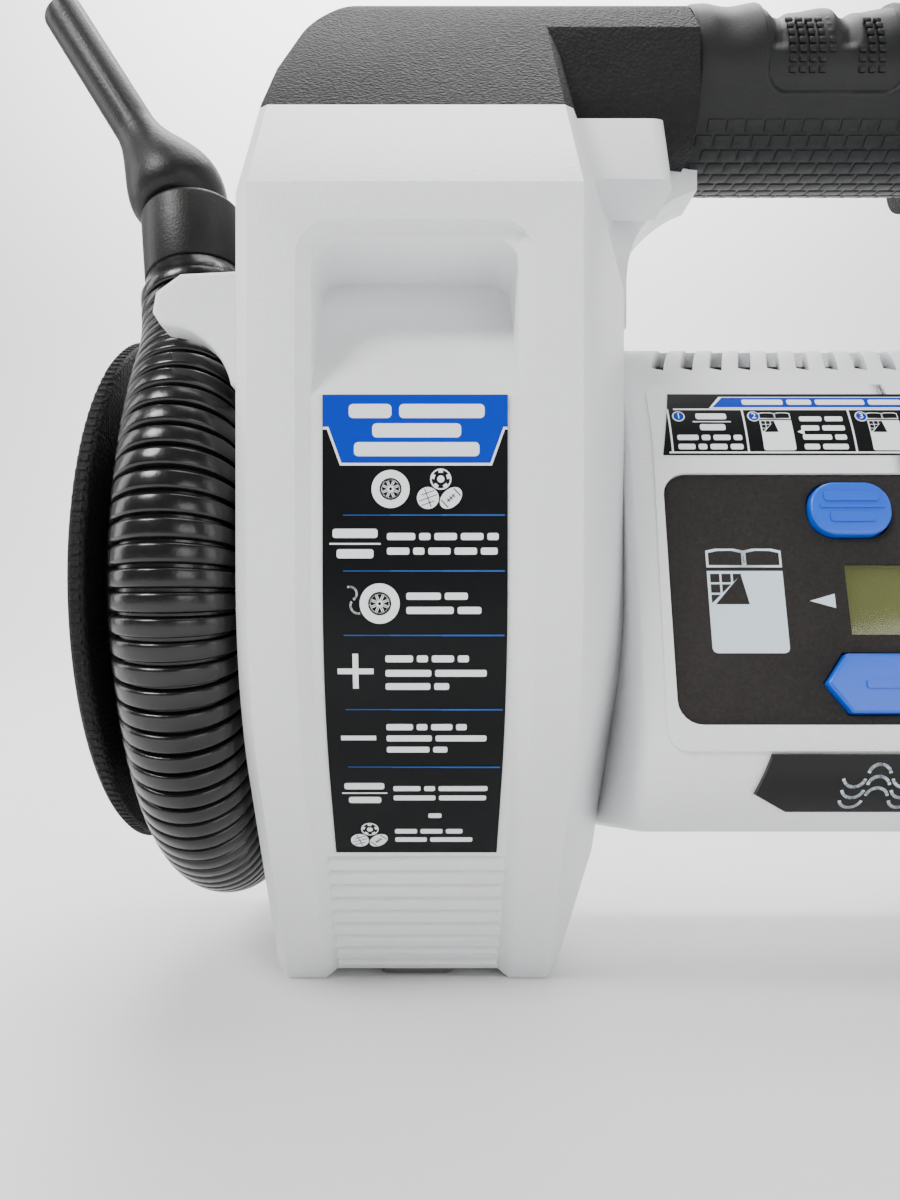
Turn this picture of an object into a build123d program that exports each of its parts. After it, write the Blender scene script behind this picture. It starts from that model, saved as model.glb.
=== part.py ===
from build123d import *
import os
from math import acos, cos, degrees, pi, radians, sin, tan

os.makedirs("parts", exist_ok=True)

# Portable tire inflator, millimetres. +Z is up, the control panel faces -Y, and the origin is on
# the resting surface under the middle of the case, battery and hose hub together.

# ---- Case ----
tower_pitch = 212.0
face_half = 32.0
flank_half = 34.6
flank_reach = 46.0
flank_inset = 28.0
edge_break = 2.6
tower_depth = 75.0
axis_z = 97.0
kink_z = 171.0
top_z = 254.0
slope = radians(35)
lean = radians(38)
wall = 2.5
shell_wall = 4.6
hub_reach = 70.5
pack_reach = 34.0
left_x = (hub_reach - flank_half - pack_reach - tower_pitch) / 2
right_x = left_x + tower_pitch
body_x = (left_x + right_x) / 2
body_half = tower_pitch / 2 - flank_reach
crown_radius = (tower_depth - (top_z - kink_z) * tan(lean)) / (cos(lean) - (1 - sin(lean)) * tan(lean))

# ---- Seam between the white case and the black handle ----
seam_edge_z = 199.0
seam_rise = 24.0 / 53.0
seam_edge_y = tower_depth - (seam_edge_z - kink_z) * tan(lean)
roof_z = seam_edge_z + seam_edge_y * seam_rise
roof_half = 90.0
roof_edge_z = roof_z - roof_half * seam_rise

# ---- Handle ----
grip_radius = 22.5
grip_z = top_z - grip_radius
shoulder_half = 24.0
shoulder_x = 70.4
shoulder_round = 11.0
arch_radius = 30.0
arch_x = 84.0
arch_z = 176.0
arch_end = radians(108)
core_radius = 17.0

# ---- Main body ----
body_top = 161.0
body_bottom = 33.0
body_back = 64.0
panel_tilt = radians(13.2)
brow_radius = 52.0
nose_radius = 20.0
panel_height = 56.5
belly_angle = radians(12.4)
upper = (-brow_radius * cos(panel_tilt), body_top - brow_radius * (1 - sin(panel_tilt)))
lower = (upper[0] - panel_height * sin(panel_tilt), upper[1] - panel_height * cos(panel_tilt))
nose = (lower[0] + nose_radius * cos(panel_tilt), lower[1] - nose_radius * sin(panel_tilt))
panel_mid = ((upper[0] + lower[0]) / 2, (upper[1] + lower[1]) / 2)
panel_plane = Plane((body_x, panel_mid[0], panel_mid[1]), x_dir=(1, 0, 0),
                    z_dir=(0, -cos(panel_tilt), sin(panel_tilt)))

# ---- Panel controls, in the panel's own plane ----
bezel_size = (105.0, 54.5)
bezel_thick = 2.0
pill_at = (13.0, 19.0)
pill_size = (17.4, 12.0)
hex_at = (12.2, -18.9)
hex_size = (19.6, 12.4)
hex_tip = 4.6
lcd_size = (30.4, 15.3)
lcd_at = (0.0, -0.8)
button_proud = 1.6
button_gap = 0.35

# ---- Hose and hub ----
hose_x = left_x - 47.8
hose_diameter = 25.4
hose_radius = 66.7
hub_radius = 53.3
hub_end = left_x - 66.7
flange_radius = 65.0
flange_thick = hub_reach - 66.7
intake_radius = 22.0


def column_face(x, inset):
    """Side view of a tower at station x, pulled in all round by inset."""
    radius = tower_depth - inset
    crown = max(crown_radius - inset, 1.0)
    crown_z = top_z - crown_radius - max(crown + inset - crown_radius, 0) / sin(lean)
    knee = (-radius * cos(slope), axis_z - radius * sin(slope))
    foot = (knee[0] + (knee[1] - inset) * tan(slope), inset)
    kink = (-radius, kink_z - inset * tan(lean / 2))
    brow = (-crown * cos(lean), crown_z + crown * sin(lean))
    with BuildSketch(Plane.YZ.offset(x)) as face:
        with BuildLine():
            Line((0, inset), foot)
            Line(foot, knee)
            CenterArc((0, axis_z), radius, 180, degrees(slope))
            Line((-radius, axis_z), kink)
            Line(kink, brow)
            CenterArc((0, crown_z), crown, 90, 90 - degrees(lean))
            mirror(about=Plane.YZ)
        make_face()
    return face.sketch


def column(stations):
    """Loft the tower's side view through stations of (distance from its middle, inset)."""
    with BuildPart() as lofted:
        for station, inset in stations:
            add(column_face(left_x + station, inset))
        loft(ruled=True)
    return lofted.part


def side_prism(points, x_start, x_end):
    """Prism along X over an outline of (y, z) points."""
    with BuildPart() as prism:
        with BuildSketch(Plane.YZ.offset(x_start)):
            with BuildLine():
                Polyline(*points, close=True)
            make_face()
        extrude(amount=x_end - x_start)
    return prism.part


def body_face(x, inset):
    """Section of the main body at station x, pulled in all round by inset."""
    with BuildSketch(Plane.YZ.offset(x)) as face:
        with BuildLine():
            top_front = CenterArc((0, body_top - brow_radius), brow_radius - inset, 90,
                                  90 - degrees(panel_tilt))
            Line(top_front @ 1, (lower[0] + inset * cos(panel_tilt), lower[1] - inset * sin(panel_tilt)))
            chin = CenterArc(nose, nose_radius - inset, 180 - degrees(panel_tilt),
                             90 + degrees(panel_tilt) - degrees(belly_angle))
            Line(chin @ 1, (0, body_bottom + inset))
            CenterArc((0, axis_z), body_back - inset, -90, 180)
        make_face()
    return face.sketch


def body_solid(stations):
    """Loft the main body through stations of (x, inset)."""
    with BuildPart() as block:
        for station, inset in stations:
            add(body_face(station, inset))
        loft(ruled=True)
    return block.part


def rod_x(radius, x_start, x_end, y, z):
    """Round bar along X."""
    with BuildPart() as bar:
        with BuildSketch(Plane.YZ.offset(x_start)):
            with Locations((y, z)):
                Circle(radius)
        extrude(amount=x_end - x_start)
    return bar.part


def rod_y(radius, y_start, y_end, x, z):
    """Round bar along Y."""
    with BuildPart() as bar:
        with BuildSketch(Plane.XZ.offset(-y_start)):
            with Locations((x, z)):
                Circle(radius)
        extrude(amount=y_start - y_end)
    return bar.part


def save(piece, name):
    """Label a finished piece and write it as its own file."""
    piece.label = name
    export_step(piece, f"parts/{name}.step")


# ---- Shared tower shapes ----
column_outer = column([(-flank_half, edge_break), (-face_half, 0), (face_half, 0),
                       (flank_half, edge_break), (flank_reach, flank_inset)])
column_cavity = column([(-face_half, shell_wall), (flank_half - 1.6, shell_wall),
                        (flank_reach - wall, flank_inset + wall)])
channel_half = 20.0
channel_lip = 2.8
channel_depth = 2.0
channel_core = column([(-channel_half - channel_lip, 0), (-channel_half, channel_depth),
                       (channel_half, channel_depth), (channel_half + channel_lip, 0)])
pocket_top = 161.0
pocket_depth = 24.0
pocket_sill = 131.0
below_seam = side_prism([(-roof_half, -1), (-roof_half, roof_edge_z), (0, roof_z),
                         (roof_half, roof_edge_z), (roof_half, -1)], left_x - 60, left_x + 90)
channel_corner = 7.0
pocket_corner = 5.0
with BuildPart() as channel_void:
    with Locations((left_x, 0, 0)):
        Box(2 * (channel_half + channel_lip), 90, 2 * (pocket_top + channel_lip),
            align=(Align.CENTER, Align.MAX, Align.CENTER))
    fillet(channel_void.edges().filter_by(Axis.Y).group_by(Axis.Z)[-1], channel_corner)
    add(channel_core, mode=Mode.SUBTRACT)
with BuildPart() as pocket_void:
    add(side_prism([(-90, pocket_top), (-tower_depth + pocket_depth, pocket_top),
                    (-tower_depth + channel_depth, pocket_sill), (-90, pocket_sill)],
                   left_x - channel_half, left_x + channel_half))
    fillet(pocket_void.edges().filter_by(Axis.Y).group_by(Axis.Z)[-1], pocket_corner)
front_half_space = Box(600, 100, 600, align=(Align.CENTER, Align.MAX, Align.CENTER))
rear_half_space = Box(600, 100, 600, align=(Align.CENTER, Align.MIN, Align.CENTER))

# The outer top corner of a tower rolls over into the handle.
with BuildPart() as corner_trim:
    with BuildSketch(Plane.XZ.offset(-90)):
        with BuildLine():
            side = Line((left_x - flank_half - 0.01, 203), (left_x - 28.5, 232))
            roll = TangentArc(side @ 1, (left_x - 8, top_z + 0.01), tangent=side % 1)
            Polyline(roll @ 1, (left_x - 60, top_z + 0.01), (left_x - 60, 203), side @ 0)
        make_face()
    extrude(amount=180)

grip_bore = rod_x(grip_radius + 0.2, left_x + flank_reach, left_x + 120, 0, grip_z)

# Squared root of the handle, between the tower and the grip.
with BuildPart() as shoulder:
    add(column_face(left_x + 30, 0))
    extrude(amount=shoulder_x - 30, dir=(1, 0, 0))
    with BuildSketch(Plane.YZ.offset(left_x + 20)):
        with Locations((0, grip_z)):
            RectangleRounded(2 * shoulder_half, 2 * grip_radius, shoulder_round)
    extrude(amount=60, mode=Mode.INTERSECT)
shoulder_cut = shoulder.part & Box(400, 200, 600, align=(Align.MIN, Align.CENTER, Align.CENTER)).moved(
    Location((left_x + flank_reach, 0, 0)))

# Arch between the tower and the underside of the handle.
with BuildPart() as arch_web:
    with BuildSketch(Plane.XZ.offset(-30)):
        with BuildLine():
            arch_curve = CenterArc((left_x + arch_x, arch_z), arch_radius, 180, degrees(arch_end) - 180)
            Polyline(arch_curve @ 1, (left_x + arch_x + arch_radius * cos(arch_end), grip_z),
                     (left_x + flank_reach - 0.5, grip_z), (left_x + flank_reach - 0.5, body_top),
                     (left_x + arch_x - arch_radius, body_top + 4), arch_curve @ 0)
        make_face()
    extrude(amount=60)
    with BuildSketch():
        with BuildLine():
            web_side = ThreePointArc((left_x + 45, -26), (left_x + 56, -13.5), (left_x + 75, -7))
            Line(web_side @ 1, (left_x + 75, 7))
            ThreePointArc((left_x + 75, 7), (left_x + 56, 13.5), (left_x + 45, 26))
            Line((left_x + 45, 26), web_side @ 0)
        make_face()
    extrude(amount=grip_z, mode=Mode.INTERSECT)

# Cheek that wraps from the front of the tower round the root of the handle.
with BuildPart() as cheek:
    with BuildSketch(Plane.YZ.offset(left_x + 30)):
        with BuildLine():
            Polyline((-40, 190), (-31, 213), (-20, 213), (-20, 190), close=True)
        make_face()
    extrude(amount=30)
    fillet(cheek.faces().sort_by(Axis.X)[-1].edges().sort_by(Axis.Y)[0], 5)

screw_heights = (125.0, 160.0)
screw_spread = 27.0
boss_radius = 4.4


def screw_points():
    """Places of the four case screws in the left tower, as (x, z)."""
    return [(left_x + side * screw_spread, height) for side in (-1, 1) for height in screw_heights]


rib_count = 9
rib_start = 4.5
rib_pitch = 3.8


foot_size = (18.0, 11.0, 2.4)
foot_y = 15.0
foot_recess = [Pos(left_x, side * foot_y, 0) * Box(foot_size[0] + 0.2, foot_size[1] + 0.2, 2 * foot_size[2])
               for side in (-1, 1)]

# ---- Towers ----
with BuildPart() as left_tower_front:
    add(column_outer)
    add(column_cavity, mode=Mode.SUBTRACT)
    add(side_prism([(-90, pocket_top + wall), (-tower_depth + pocket_depth + wall, pocket_top + wall),
                    (-tower_depth + channel_depth + wall, pocket_sill - wall), (-90, pocket_sill - wall)],
                   left_x - channel_half - wall, left_x + channel_half + wall) & column_outer)
    add(channel_void.part, mode=Mode.SUBTRACT)
    add(pocket_void.part, mode=Mode.SUBTRACT)
    add(cheek.part)
    add(arch_web.part)
    add(below_seam, mode=Mode.INTERSECT)
    add(shoulder_cut, mode=Mode.SUBTRACT)
    add(grip_bore, mode=Mode.SUBTRACT)
    for x, z in screw_points():
        add(rod_y(boss_radius, -tower_depth + 3, 0, x, z))
        add(rod_y(1.2, -20, 1, x, z), mode=Mode.SUBTRACT)
    for rib in range(rib_count):
        floor_r = tower_depth - channel_depth
        z_rib = rib_start + rib * rib_pitch
        y_rib = -floor_r * cos(slope) + (axis_z - floor_r * sin(slope) - z_rib) * tan(slope)
        with BuildSketch(Plane.YZ.offset(left_x - channel_half + 0.6)):
            with Locations((y_rib, z_rib)):
                Circle(1.1)
        extrude(amount=2 * channel_half - 1.2)
    add(front_half_space, mode=Mode.INTERSECT)
    add(foot_recess[0], mode=Mode.SUBTRACT)

with BuildPart() as left_tower_rear:
    add(column_outer)
    add(column_cavity, mode=Mode.SUBTRACT)
    add(arch_web.part)
    add(below_seam, mode=Mode.INTERSECT)
    add(shoulder_cut, mode=Mode.SUBTRACT)
    add(grip_bore, mode=Mode.SUBTRACT)
    for x, z in screw_points():
        add(rod_y(boss_radius, 0, tower_depth - 3, x, z))
        add(rod_y(1.7, -1, tower_depth + 1, x, z), mode=Mode.SUBTRACT)
        add(rod_y(3.4, tower_depth - 3, tower_depth + 1, x, z), mode=Mode.SUBTRACT)
    add(rear_half_space, mode=Mode.INTERSECT)
    add(foot_recess[1], mode=Mode.SUBTRACT)

passage = rod_x(12, left_x + flank_reach - 6, left_x + flank_reach + 6, 0, axis_z)
motor_hole = rod_x(24, left_x - flank_half - 2, left_x - flank_half + 8, 0, axis_z)
case_mid = Plane.YZ.offset(body_x)

with BuildPart() as right_tower_front:
    mirror(left_tower_front.part - passage, about=case_mid)
save(right_tower_front.part, "right_tower_front")

with BuildPart() as right_tower_rear:
    mirror(left_tower_rear.part - passage, about=case_mid)
save(right_tower_rear.part, "right_tower_rear")

save(left_tower_front.part - passage - motor_hole, "left_tower_front")
save(left_tower_rear.part - passage - motor_hole, "left_tower_rear")

# ---- Handle ----
above_cut = side_prism([(-roof_half, -1), (-roof_half, roof_edge_z), (0, roof_z),
                        (roof_half, roof_edge_z), (roof_half, -1)], left_x - 60, left_x + flank_reach)
cap_room = Pos(left_x + 8, 0, 222) * Box(60, 120, 42)

with BuildPart() as left_handle_shell:
    add(column_outer)
    add(shoulder.part)
    add(above_cut, mode=Mode.SUBTRACT)
    add(corner_trim.part, mode=Mode.SUBTRACT)
    add(column_cavity & cap_room, mode=Mode.SUBTRACT)
    add(rod_x(core_radius, left_x + 50, left_x + 80, 0, grip_z), mode=Mode.SUBTRACT)
save(left_handle_shell.part, "left_handle_shell")

with BuildPart() as right_handle_shell:
    mirror(left_handle_shell.part, about=case_mid)
save(right_handle_shell.part, "right_handle_shell")

save(rod_x(core_radius, left_x + 50, right_x - 50, 0, grip_z)
     - rod_x(core_radius - 3, left_x + 49, right_x - 49, 0, grip_z), "handle_core")
save(rod_x(grip_radius, left_x + shoulder_x, right_x - shoulder_x, 0, grip_z)
     - rod_x(core_radius, left_x + 49, right_x - 49, 0, grip_z), "rubber_grip")

# ---- Main body ----
body_start = body_x - body_half
body_end = body_x + body_half
body_wall = 4.0
vent_count = 14
vent_pitch = 6.9
bezel_ledge = 1.2

with BuildPart() as body_shell:
    add(body_solid([(body_start, 3.5), (body_start + 1.2, 1.1), (body_start + 3.5, 0),
                    (body_end - 3.5, 0), (body_end - 1.2, 1.1), (body_end, 3.5)]))
    add(body_solid([(body_start + body_wall, body_wall), (body_end - body_wall, body_wall)]),
        mode=Mode.SUBTRACT)
    add(rod_x(12, body_start - 1, body_end + 1, 0, axis_z), mode=Mode.SUBTRACT)

with BuildPart() as body_front_shell:
    add(body_shell.part)
    with BuildSketch(panel_plane.offset(-bezel_thick)):
        RectangleRounded(bezel_size[0] + 0.2, bezel_size[1] + 0.2, 5)
    extrude(amount=10, mode=Mode.SUBTRACT)
    with BuildSketch(panel_plane.offset(-10)):
        RectangleRounded(bezel_size[0] - 2 * bezel_ledge, bezel_size[1] - 2 * bezel_ledge, 4)
    extrude(amount=12, mode=Mode.SUBTRACT)
    for vent in range(vent_count):
        with Locations(Pos(body_x + (vent - (vent_count - 1) / 2) * vent_pitch, -22, 155) * Rot(0, 0, -20)):
            Box(2.8, 26, 30, mode=Mode.SUBTRACT)
    add(front_half_space, mode=Mode.INTERSECT)
save(body_front_shell.part, "body_front_shell")

outlet_x = body_x - 22
with BuildPart() as body_rear_shell:
    add(body_shell.part)
    add(rear_half_space, mode=Mode.INTERSECT)
    add(rod_y(6.1, 30, 80, outlet_x, axis_z), mode=Mode.SUBTRACT)
save(body_rear_shell.part, "body_rear_shell")

# ---- Control panel ----
def pill(clearance):
    """Outline of a power or start button."""
    return RectangleRounded(pill_size[0] + 2 * clearance, pill_size[1] + 2 * clearance,
                            pill_size[1] / 2 - 0.4)


def hexagon(side, clearance):
    """Outline of a minus or plus button, pointed at its outer end."""
    wide = hex_size[0] / 2 + clearance
    high = hex_size[1] / 2 + clearance
    outline = [(wide, high), (-wide + hex_tip, high), (-wide, 0), (-wide + hex_tip, -high), (wide, -high)]
    return Polygon(*[(side * x, y) for x, y in outline], align=None)


buttons = {
    "power_mode_button": (-1, pill_at),
    "start_stop_button": (1, pill_at),
    "minus_button": (-1, hex_at),
    "plus_button": (1, hex_at),
}


def button_outline(name, clearance):
    """Sketch of one button in the panel's plane."""
    side, at = buttons[name]
    with BuildSketch() as outline:
        with Locations((side * at[0], at[1])):
            if at == pill_at:
                pill(clearance)
            else:
                hexagon(-side, clearance)
    return outline.sketch


with BuildPart() as control_bezel:
    with BuildSketch(panel_plane.offset(-bezel_thick)):
        RectangleRounded(*bezel_size, 5)
        for name in buttons:
            add(button_outline(name, button_gap), mode=Mode.SUBTRACT)
        with Locations(lcd_at):
            Rectangle(*lcd_size, mode=Mode.SUBTRACT)
    extrude(amount=bezel_thick)
save(control_bezel.part, "control_bezel")

for name in buttons:
    with BuildPart() as button:
        with BuildSketch(panel_plane.offset(-4.4)):
            add(button_outline(name, 0))
        extrude(amount=4.4 + button_proud)
        fillet(button.faces().sort_by(Axis.Y)[0].edges(), 0.7)
        with BuildSketch(panel_plane.offset(-4.4)):
            add(button_outline(name, 0.6))
        extrude(amount=2.0)
    save(button.part, name)


def panel_block(size, at, z_low, z_high):
    """Rectangular piece parallel to the panel, between two depths."""
    with BuildPart() as block:
        with BuildSketch(panel_plane.offset(z_low)):
            with Locations(at):
                Rectangle(*size)
        extrude(amount=z_high - z_low)
    return block.part


save(panel_block((lcd_size[0] - 0.2, lcd_size[1] - 0.2), lcd_at, -1.7, -0.6), "lcd_window")
save(panel_block((34, 19), lcd_at, -5.6, -2.3), "lcd_module")
save(panel_block((92, 44), (0, 0), -10.4, -8.8), "control_board")
with BuildPart() as button_switches:
    for side, at in buttons.values():
        with BuildSketch(panel_plane.offset(-8.8)):
            with Locations((side * at[0], at[1])):
                Rectangle(6, 6)
        extrude(amount=1.8)
        with BuildSketch(panel_plane.offset(-7.0)):
            with Locations((side * at[0], at[1])):
                Circle(1.6)
        extrude(amount=1.0)
save(button_switches.part, "button_switches")

# ---- Labels and nameplate ----
label_half = 17.75
label_low = 37.0
label_high = pocket_sill
label_thick = 0.4
with BuildPart() as channel_floor:
    add(column_face(left_x - label_half, channel_depth))
    extrude(amount=2 * label_half, dir=(1, 0, 0))
with BuildPart() as tower_label:
    add(column_face(left_x - label_half, channel_depth - label_thick))
    extrude(amount=2 * label_half, dir=(1, 0, 0))
    add(channel_floor.part, mode=Mode.SUBTRACT)
    with Locations((left_x, 0, (label_low + label_high) / 2)):
        Box(60, 90, label_high - label_low, align=(Align.CENTER, Align.MAX, Align.CENTER),
            mode=Mode.INTERSECT)
save(tower_label.part, "tower_label")

strip_low = 124.0
strip_high = 139.5
with BuildPart() as strip_label:
    with BuildSketch(Plane.YZ.offset(body_x - bezel_size[0] / 2)):
        with Locations((0, body_top - brow_radius)):
            Circle(brow_radius + 0.4)
            Circle(brow_radius, mode=Mode.SUBTRACT)
    extrude(amount=bezel_size[0])
    with BuildSketch(Plane.XZ):
        Polygon((body_x - 52.5, strip_low), (body_x + 52.5, strip_low), (body_x + 48.5, strip_high),
                (body_x - 48.5, strip_high), align=None)
    extrude(amount=90, mode=Mode.INTERSECT)
save(strip_label.part, "strip_label")

with BuildPart() as nameplate:
    with BuildSketch(Plane.YZ.offset(body_x - 40)):
        with Locations(nose):
            Circle(nose_radius + 1.2)
            Circle(nose_radius, mode=Mode.SUBTRACT)
    extrude(amount=80)
    with BuildSketch(Plane.XZ.offset(45)):
        Polygon((body_x - 34, 61.0), (body_x + 38, 61.0), (body_x + 33, 48.6), (body_x - 30, 48.6),
                (body_x - 37, 52.5), align=None)
    extrude(amount=40, mode=Mode.INTERSECT)
save(nameplate.part, "nameplate")

# ---- Hub, flange and blower ----
flank_x = left_x - flank_half


def loop_point(angle, radius=hose_radius):
    """Point (y, z) of the hose loop, from 0 at the front through 90 at the top."""
    return (-radius * cos(radians(angle)), axis_z + radius * sin(radians(angle)))


port_angle = 120
port_normal = (sin(radians(port_angle)), cos(radians(port_angle)))
port_y, port_z = loop_point(port_angle)
port_back = 14.0
duct_end = Plane((hose_x, port_y - port_back * port_normal[0], port_z - port_back * port_normal[1]),
                 x_dir=(1, 0, 0), z_dir=(0, port_normal[0], port_normal[1]))
duct_root = Plane((hose_x, -4, axis_z + 55), x_dir=(1, 0, 0), z_dir=(0, 0.86, 0.5))

with BuildPart() as duct_block:
    with BuildSketch(duct_end.offset(3)):
        Circle(12.6)
    with BuildSketch(duct_root):
        Rectangle(22, 15)
    loft()
with BuildPart() as duct_mouth:
    with BuildSketch(duct_end.offset(4)):
        Circle(9.6)
    with BuildSketch(duct_root.offset(-3)):
        Rectangle(17, 10)
    loft()
with BuildPart() as hose_hub:
    add(rod_x(hub_radius, hub_end, flank_x, 0, axis_z))
    add(rod_x(hub_radius - 2.5, hub_end - 1, flank_x + 1, 0, axis_z), mode=Mode.SUBTRACT)
    for corner in (45, 135, 225, 315):
        boss_y = 47 * cos(radians(corner))
        boss_z = axis_z + 47 * sin(radians(corner))
        add(rod_x(4, hub_end, flank_x, boss_y, boss_z))
        add(rod_x(1.3, hub_end - 1, hub_end + 12, boss_y, boss_z), mode=Mode.SUBTRACT)
    add(duct_mouth.part, mode=Mode.SUBTRACT)
save(hose_hub.part, "hose_hub")

with BuildPart() as outlet_duct:
    add(duct_block.part)
    add(duct_mouth.part, mode=Mode.SUBTRACT)
    add(rod_x(hub_radius, hub_end, flank_x, 0, axis_z), mode=Mode.SUBTRACT)
save(outlet_duct.part, "outlet_duct")

with BuildPart() as hose_collar:
    with BuildSketch(duct_end.offset(3)):
        Circle(12.9)
        Circle(9.6, mode=Mode.SUBTRACT)
    extrude(amount=port_back - 3)
save(hose_collar.part, "hose_collar")

with BuildPart() as hub_flange:
    add(rod_x(flange_radius, hub_end - flange_thick, hub_end, 0, axis_z))
    fillet(hub_flange.edges().filter_by(GeomType.CIRCLE), 1.2)
    add(rod_x(intake_radius, hub_end - 10, hub_end + 10, 0, axis_z), mode=Mode.SUBTRACT)
    for corner in (45, 135, 225, 315):
        y_screw = 47 * cos(radians(corner))
        z_screw = axis_z + 47 * sin(radians(corner))
        add(rod_x(1.7, hub_end - 10, hub_end + 10, y_screw, z_screw), mode=Mode.SUBTRACT)
        add(rod_x(3.4, hub_end - 10, hub_end - 2, y_screw, z_screw), mode=Mode.SUBTRACT)
save(hub_flange.part, "hub_flange")

with BuildPart() as hub_screws:
    for corner in (45, 135, 225, 315):
        y_screw = 47 * cos(radians(corner))
        z_screw = axis_z + 47 * sin(radians(corner))
        add(rod_x(3.1, hub_end - 3.6, hub_end - 2, y_screw, z_screw))
        add(rod_x(1.3, hub_end - 2, hub_end + 10, y_screw, z_screw))
save(hub_screws.part, "hub_screws")

with BuildPart() as intake_grille:
    add(rod_x(intake_radius, hub_end - 3.0, hub_end, 0, axis_z)
        - rod_x(intake_radius - 2, hub_end - 4, hub_end + 1, 0, axis_z))
    for bar in range(3):
        with Locations(Pos(hub_end - 1.5, 0, axis_z) * Rot(60 * bar, 0, 0)):
            Box(3, 2 * intake_radius - 2, 2)
    for ring in (7, 14):
        add(rod_x(ring + 1, hub_end - 3, hub_end, 0, axis_z)
            - rod_x(ring - 1, hub_end - 4, hub_end + 1, 0, axis_z))
save(intake_grille.part, "intake_grille")

plate_x = hub_end + 16
with BuildPart() as blower_plate:
    add(rod_x(hub_radius - 2.7, plate_x, plate_x + 2.5, 0, axis_z))
    add(rod_x(4.0, plate_x - 1, plate_x + 4, 0, axis_z), mode=Mode.SUBTRACT)
    for corner in (45, 135, 225, 315):
        add(rod_x(4.2, plate_x - 1, plate_x + 4, 47 * cos(radians(corner)),
                  axis_z + 47 * sin(radians(corner))), mode=Mode.SUBTRACT)
save(blower_plate.part, "blower_plate")

with BuildPart() as blower_motor:
    add(rod_x(17, plate_x + 2.5, plate_x + 48, 0, axis_z))
    add(rod_x(2.1, plate_x + 2, plate_x + 30, 0, axis_z), mode=Mode.SUBTRACT)
save(blower_motor.part, "blower_motor")

blade_count = 11
impeller_radius = 40.0
with BuildPart() as blower_impeller:
    add(rod_x(impeller_radius, plate_x - 2.5, plate_x - 1, 0, axis_z))
    add(rod_x(6, plate_x - 9, plate_x - 1, 0, axis_z))
    for blade in range(blade_count):
        with Locations(Pos(plate_x - 6, 0, axis_z) * Rot(360 * blade / blade_count, 0, 0) * Pos(0, 24, 3)
                       * Rot(20, 0, 0)):
            Box(8, 26, 1.4)
    add(rod_x(2.0, plate_x - 5, plate_x + 26, 0, axis_z))
save(blower_impeller.part, "blower_impeller")

with BuildPart() as hose_hook:
    with BuildSketch(Plane.XZ.offset(64.5)):
        with BuildLine():
            Polyline((flank_x + 1.5, 155.6), (left_x - 45.5, 155.0), (left_x - 50.3, 151.5),
                     (left_x - 51, 147.6), (left_x - 49.5, 145.2), (left_x - 45, 144.4))
            ThreePointArc((left_x - 45, 144.4), (left_x - 39.4, 140.6), (left_x - 35.8, 133.5))
            Polyline((left_x - 35.8, 133.5), (flank_x + 1.5, 131.5), (flank_x + 1.5, 155.6))
        make_face()
    extrude(amount=7.5)
    fillet(hose_hook.faces().sort_by(Axis.Y)[0].edges(), 1.2)
    add(column_outer, mode=Mode.SUBTRACT)
save(hose_hook.part, "hose_hook")

# ---- High-volume hose, wound once round its hub ----
loop_step = 20
loop_end = 400
corner_radius = hose_radius / cos(radians(loop_step / 2))
route = [(hose_x, *loop_point(port_angle))]
for angle in range(port_angle + loop_step // 2, loop_end, loop_step):
    route.append((hose_x, *loop_point(angle, corner_radius)))
leave_y, leave_z = loop_point(loop_end)
leave_dir = (sin(radians(loop_end)), cos(radians(loop_end)))
route.append((hose_x - 0.6, leave_y + 9 * leave_dir[0], leave_z + 9 * leave_dir[1]))
route.append((hose_x - 1.8, leave_y + 10.6, leave_z + 16.8))
route.append((hose_x - 3.0, leave_y + 12.5, leave_z + 26.6))


def corner_radii(points):
    """Arc radius at each corner: as large as its runs allow, where an end run has one arc alone."""
    radii = []
    last = len(points) - 3
    for corner, (before, here, after) in enumerate(zip(points, points[1:], points[2:])):
        run_in = Vector(*here) - Vector(*before)
        run_out = Vector(*after) - Vector(*here)
        room_in = run_in.length * (2 if corner == 0 else 1)
        room_out = run_out.length * (2 if corner == last else 1)
        shorter = min(room_in, room_out)
        radii.append(0.45 * shorter / tan(radians(run_in.get_angle(run_out)) / 2))
    return radii


hose_radii = corner_radii(route)
print("hose arc radii", [round(radius, 1) for radius in hose_radii])
with BuildPart() as high_volume_hose:
    with BuildLine() as hose_path:
        FilletPolyline(*route, radius=hose_radii)
    hose_wire = hose_path.wires()[0]
    with BuildSketch(Plane(hose_wire @ 0, z_dir=hose_wire % 0)):
        Circle(hose_diameter / 2)
    sweep()
hose_length = hose_wire.length
print("hose length", round(hose_length, 1), "volume ratio",
      round(high_volume_hose.part.volume / (pi * hose_diameter ** 2 / 4 * hose_length), 4))
save(high_volume_hose.part, "high_volume_hose")

cuff_plane = Plane(hose_wire @ 1, z_dir=hose_wire % 1)
cuff_tall = 17.0
with BuildPart() as hose_cuff:
    with BuildSketch(cuff_plane):
        Circle(11.6)
    extrude(amount=cuff_tall)
    fillet(hose_cuff.edges().sort_by(Axis.Z)[-1], 1.5)
    with BuildSketch(cuff_plane.offset(cuff_tall - 9)):
        Circle(7.05)
    extrude(amount=10, mode=Mode.SUBTRACT)
save(hose_cuff.part, "hose_cuff")

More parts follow.
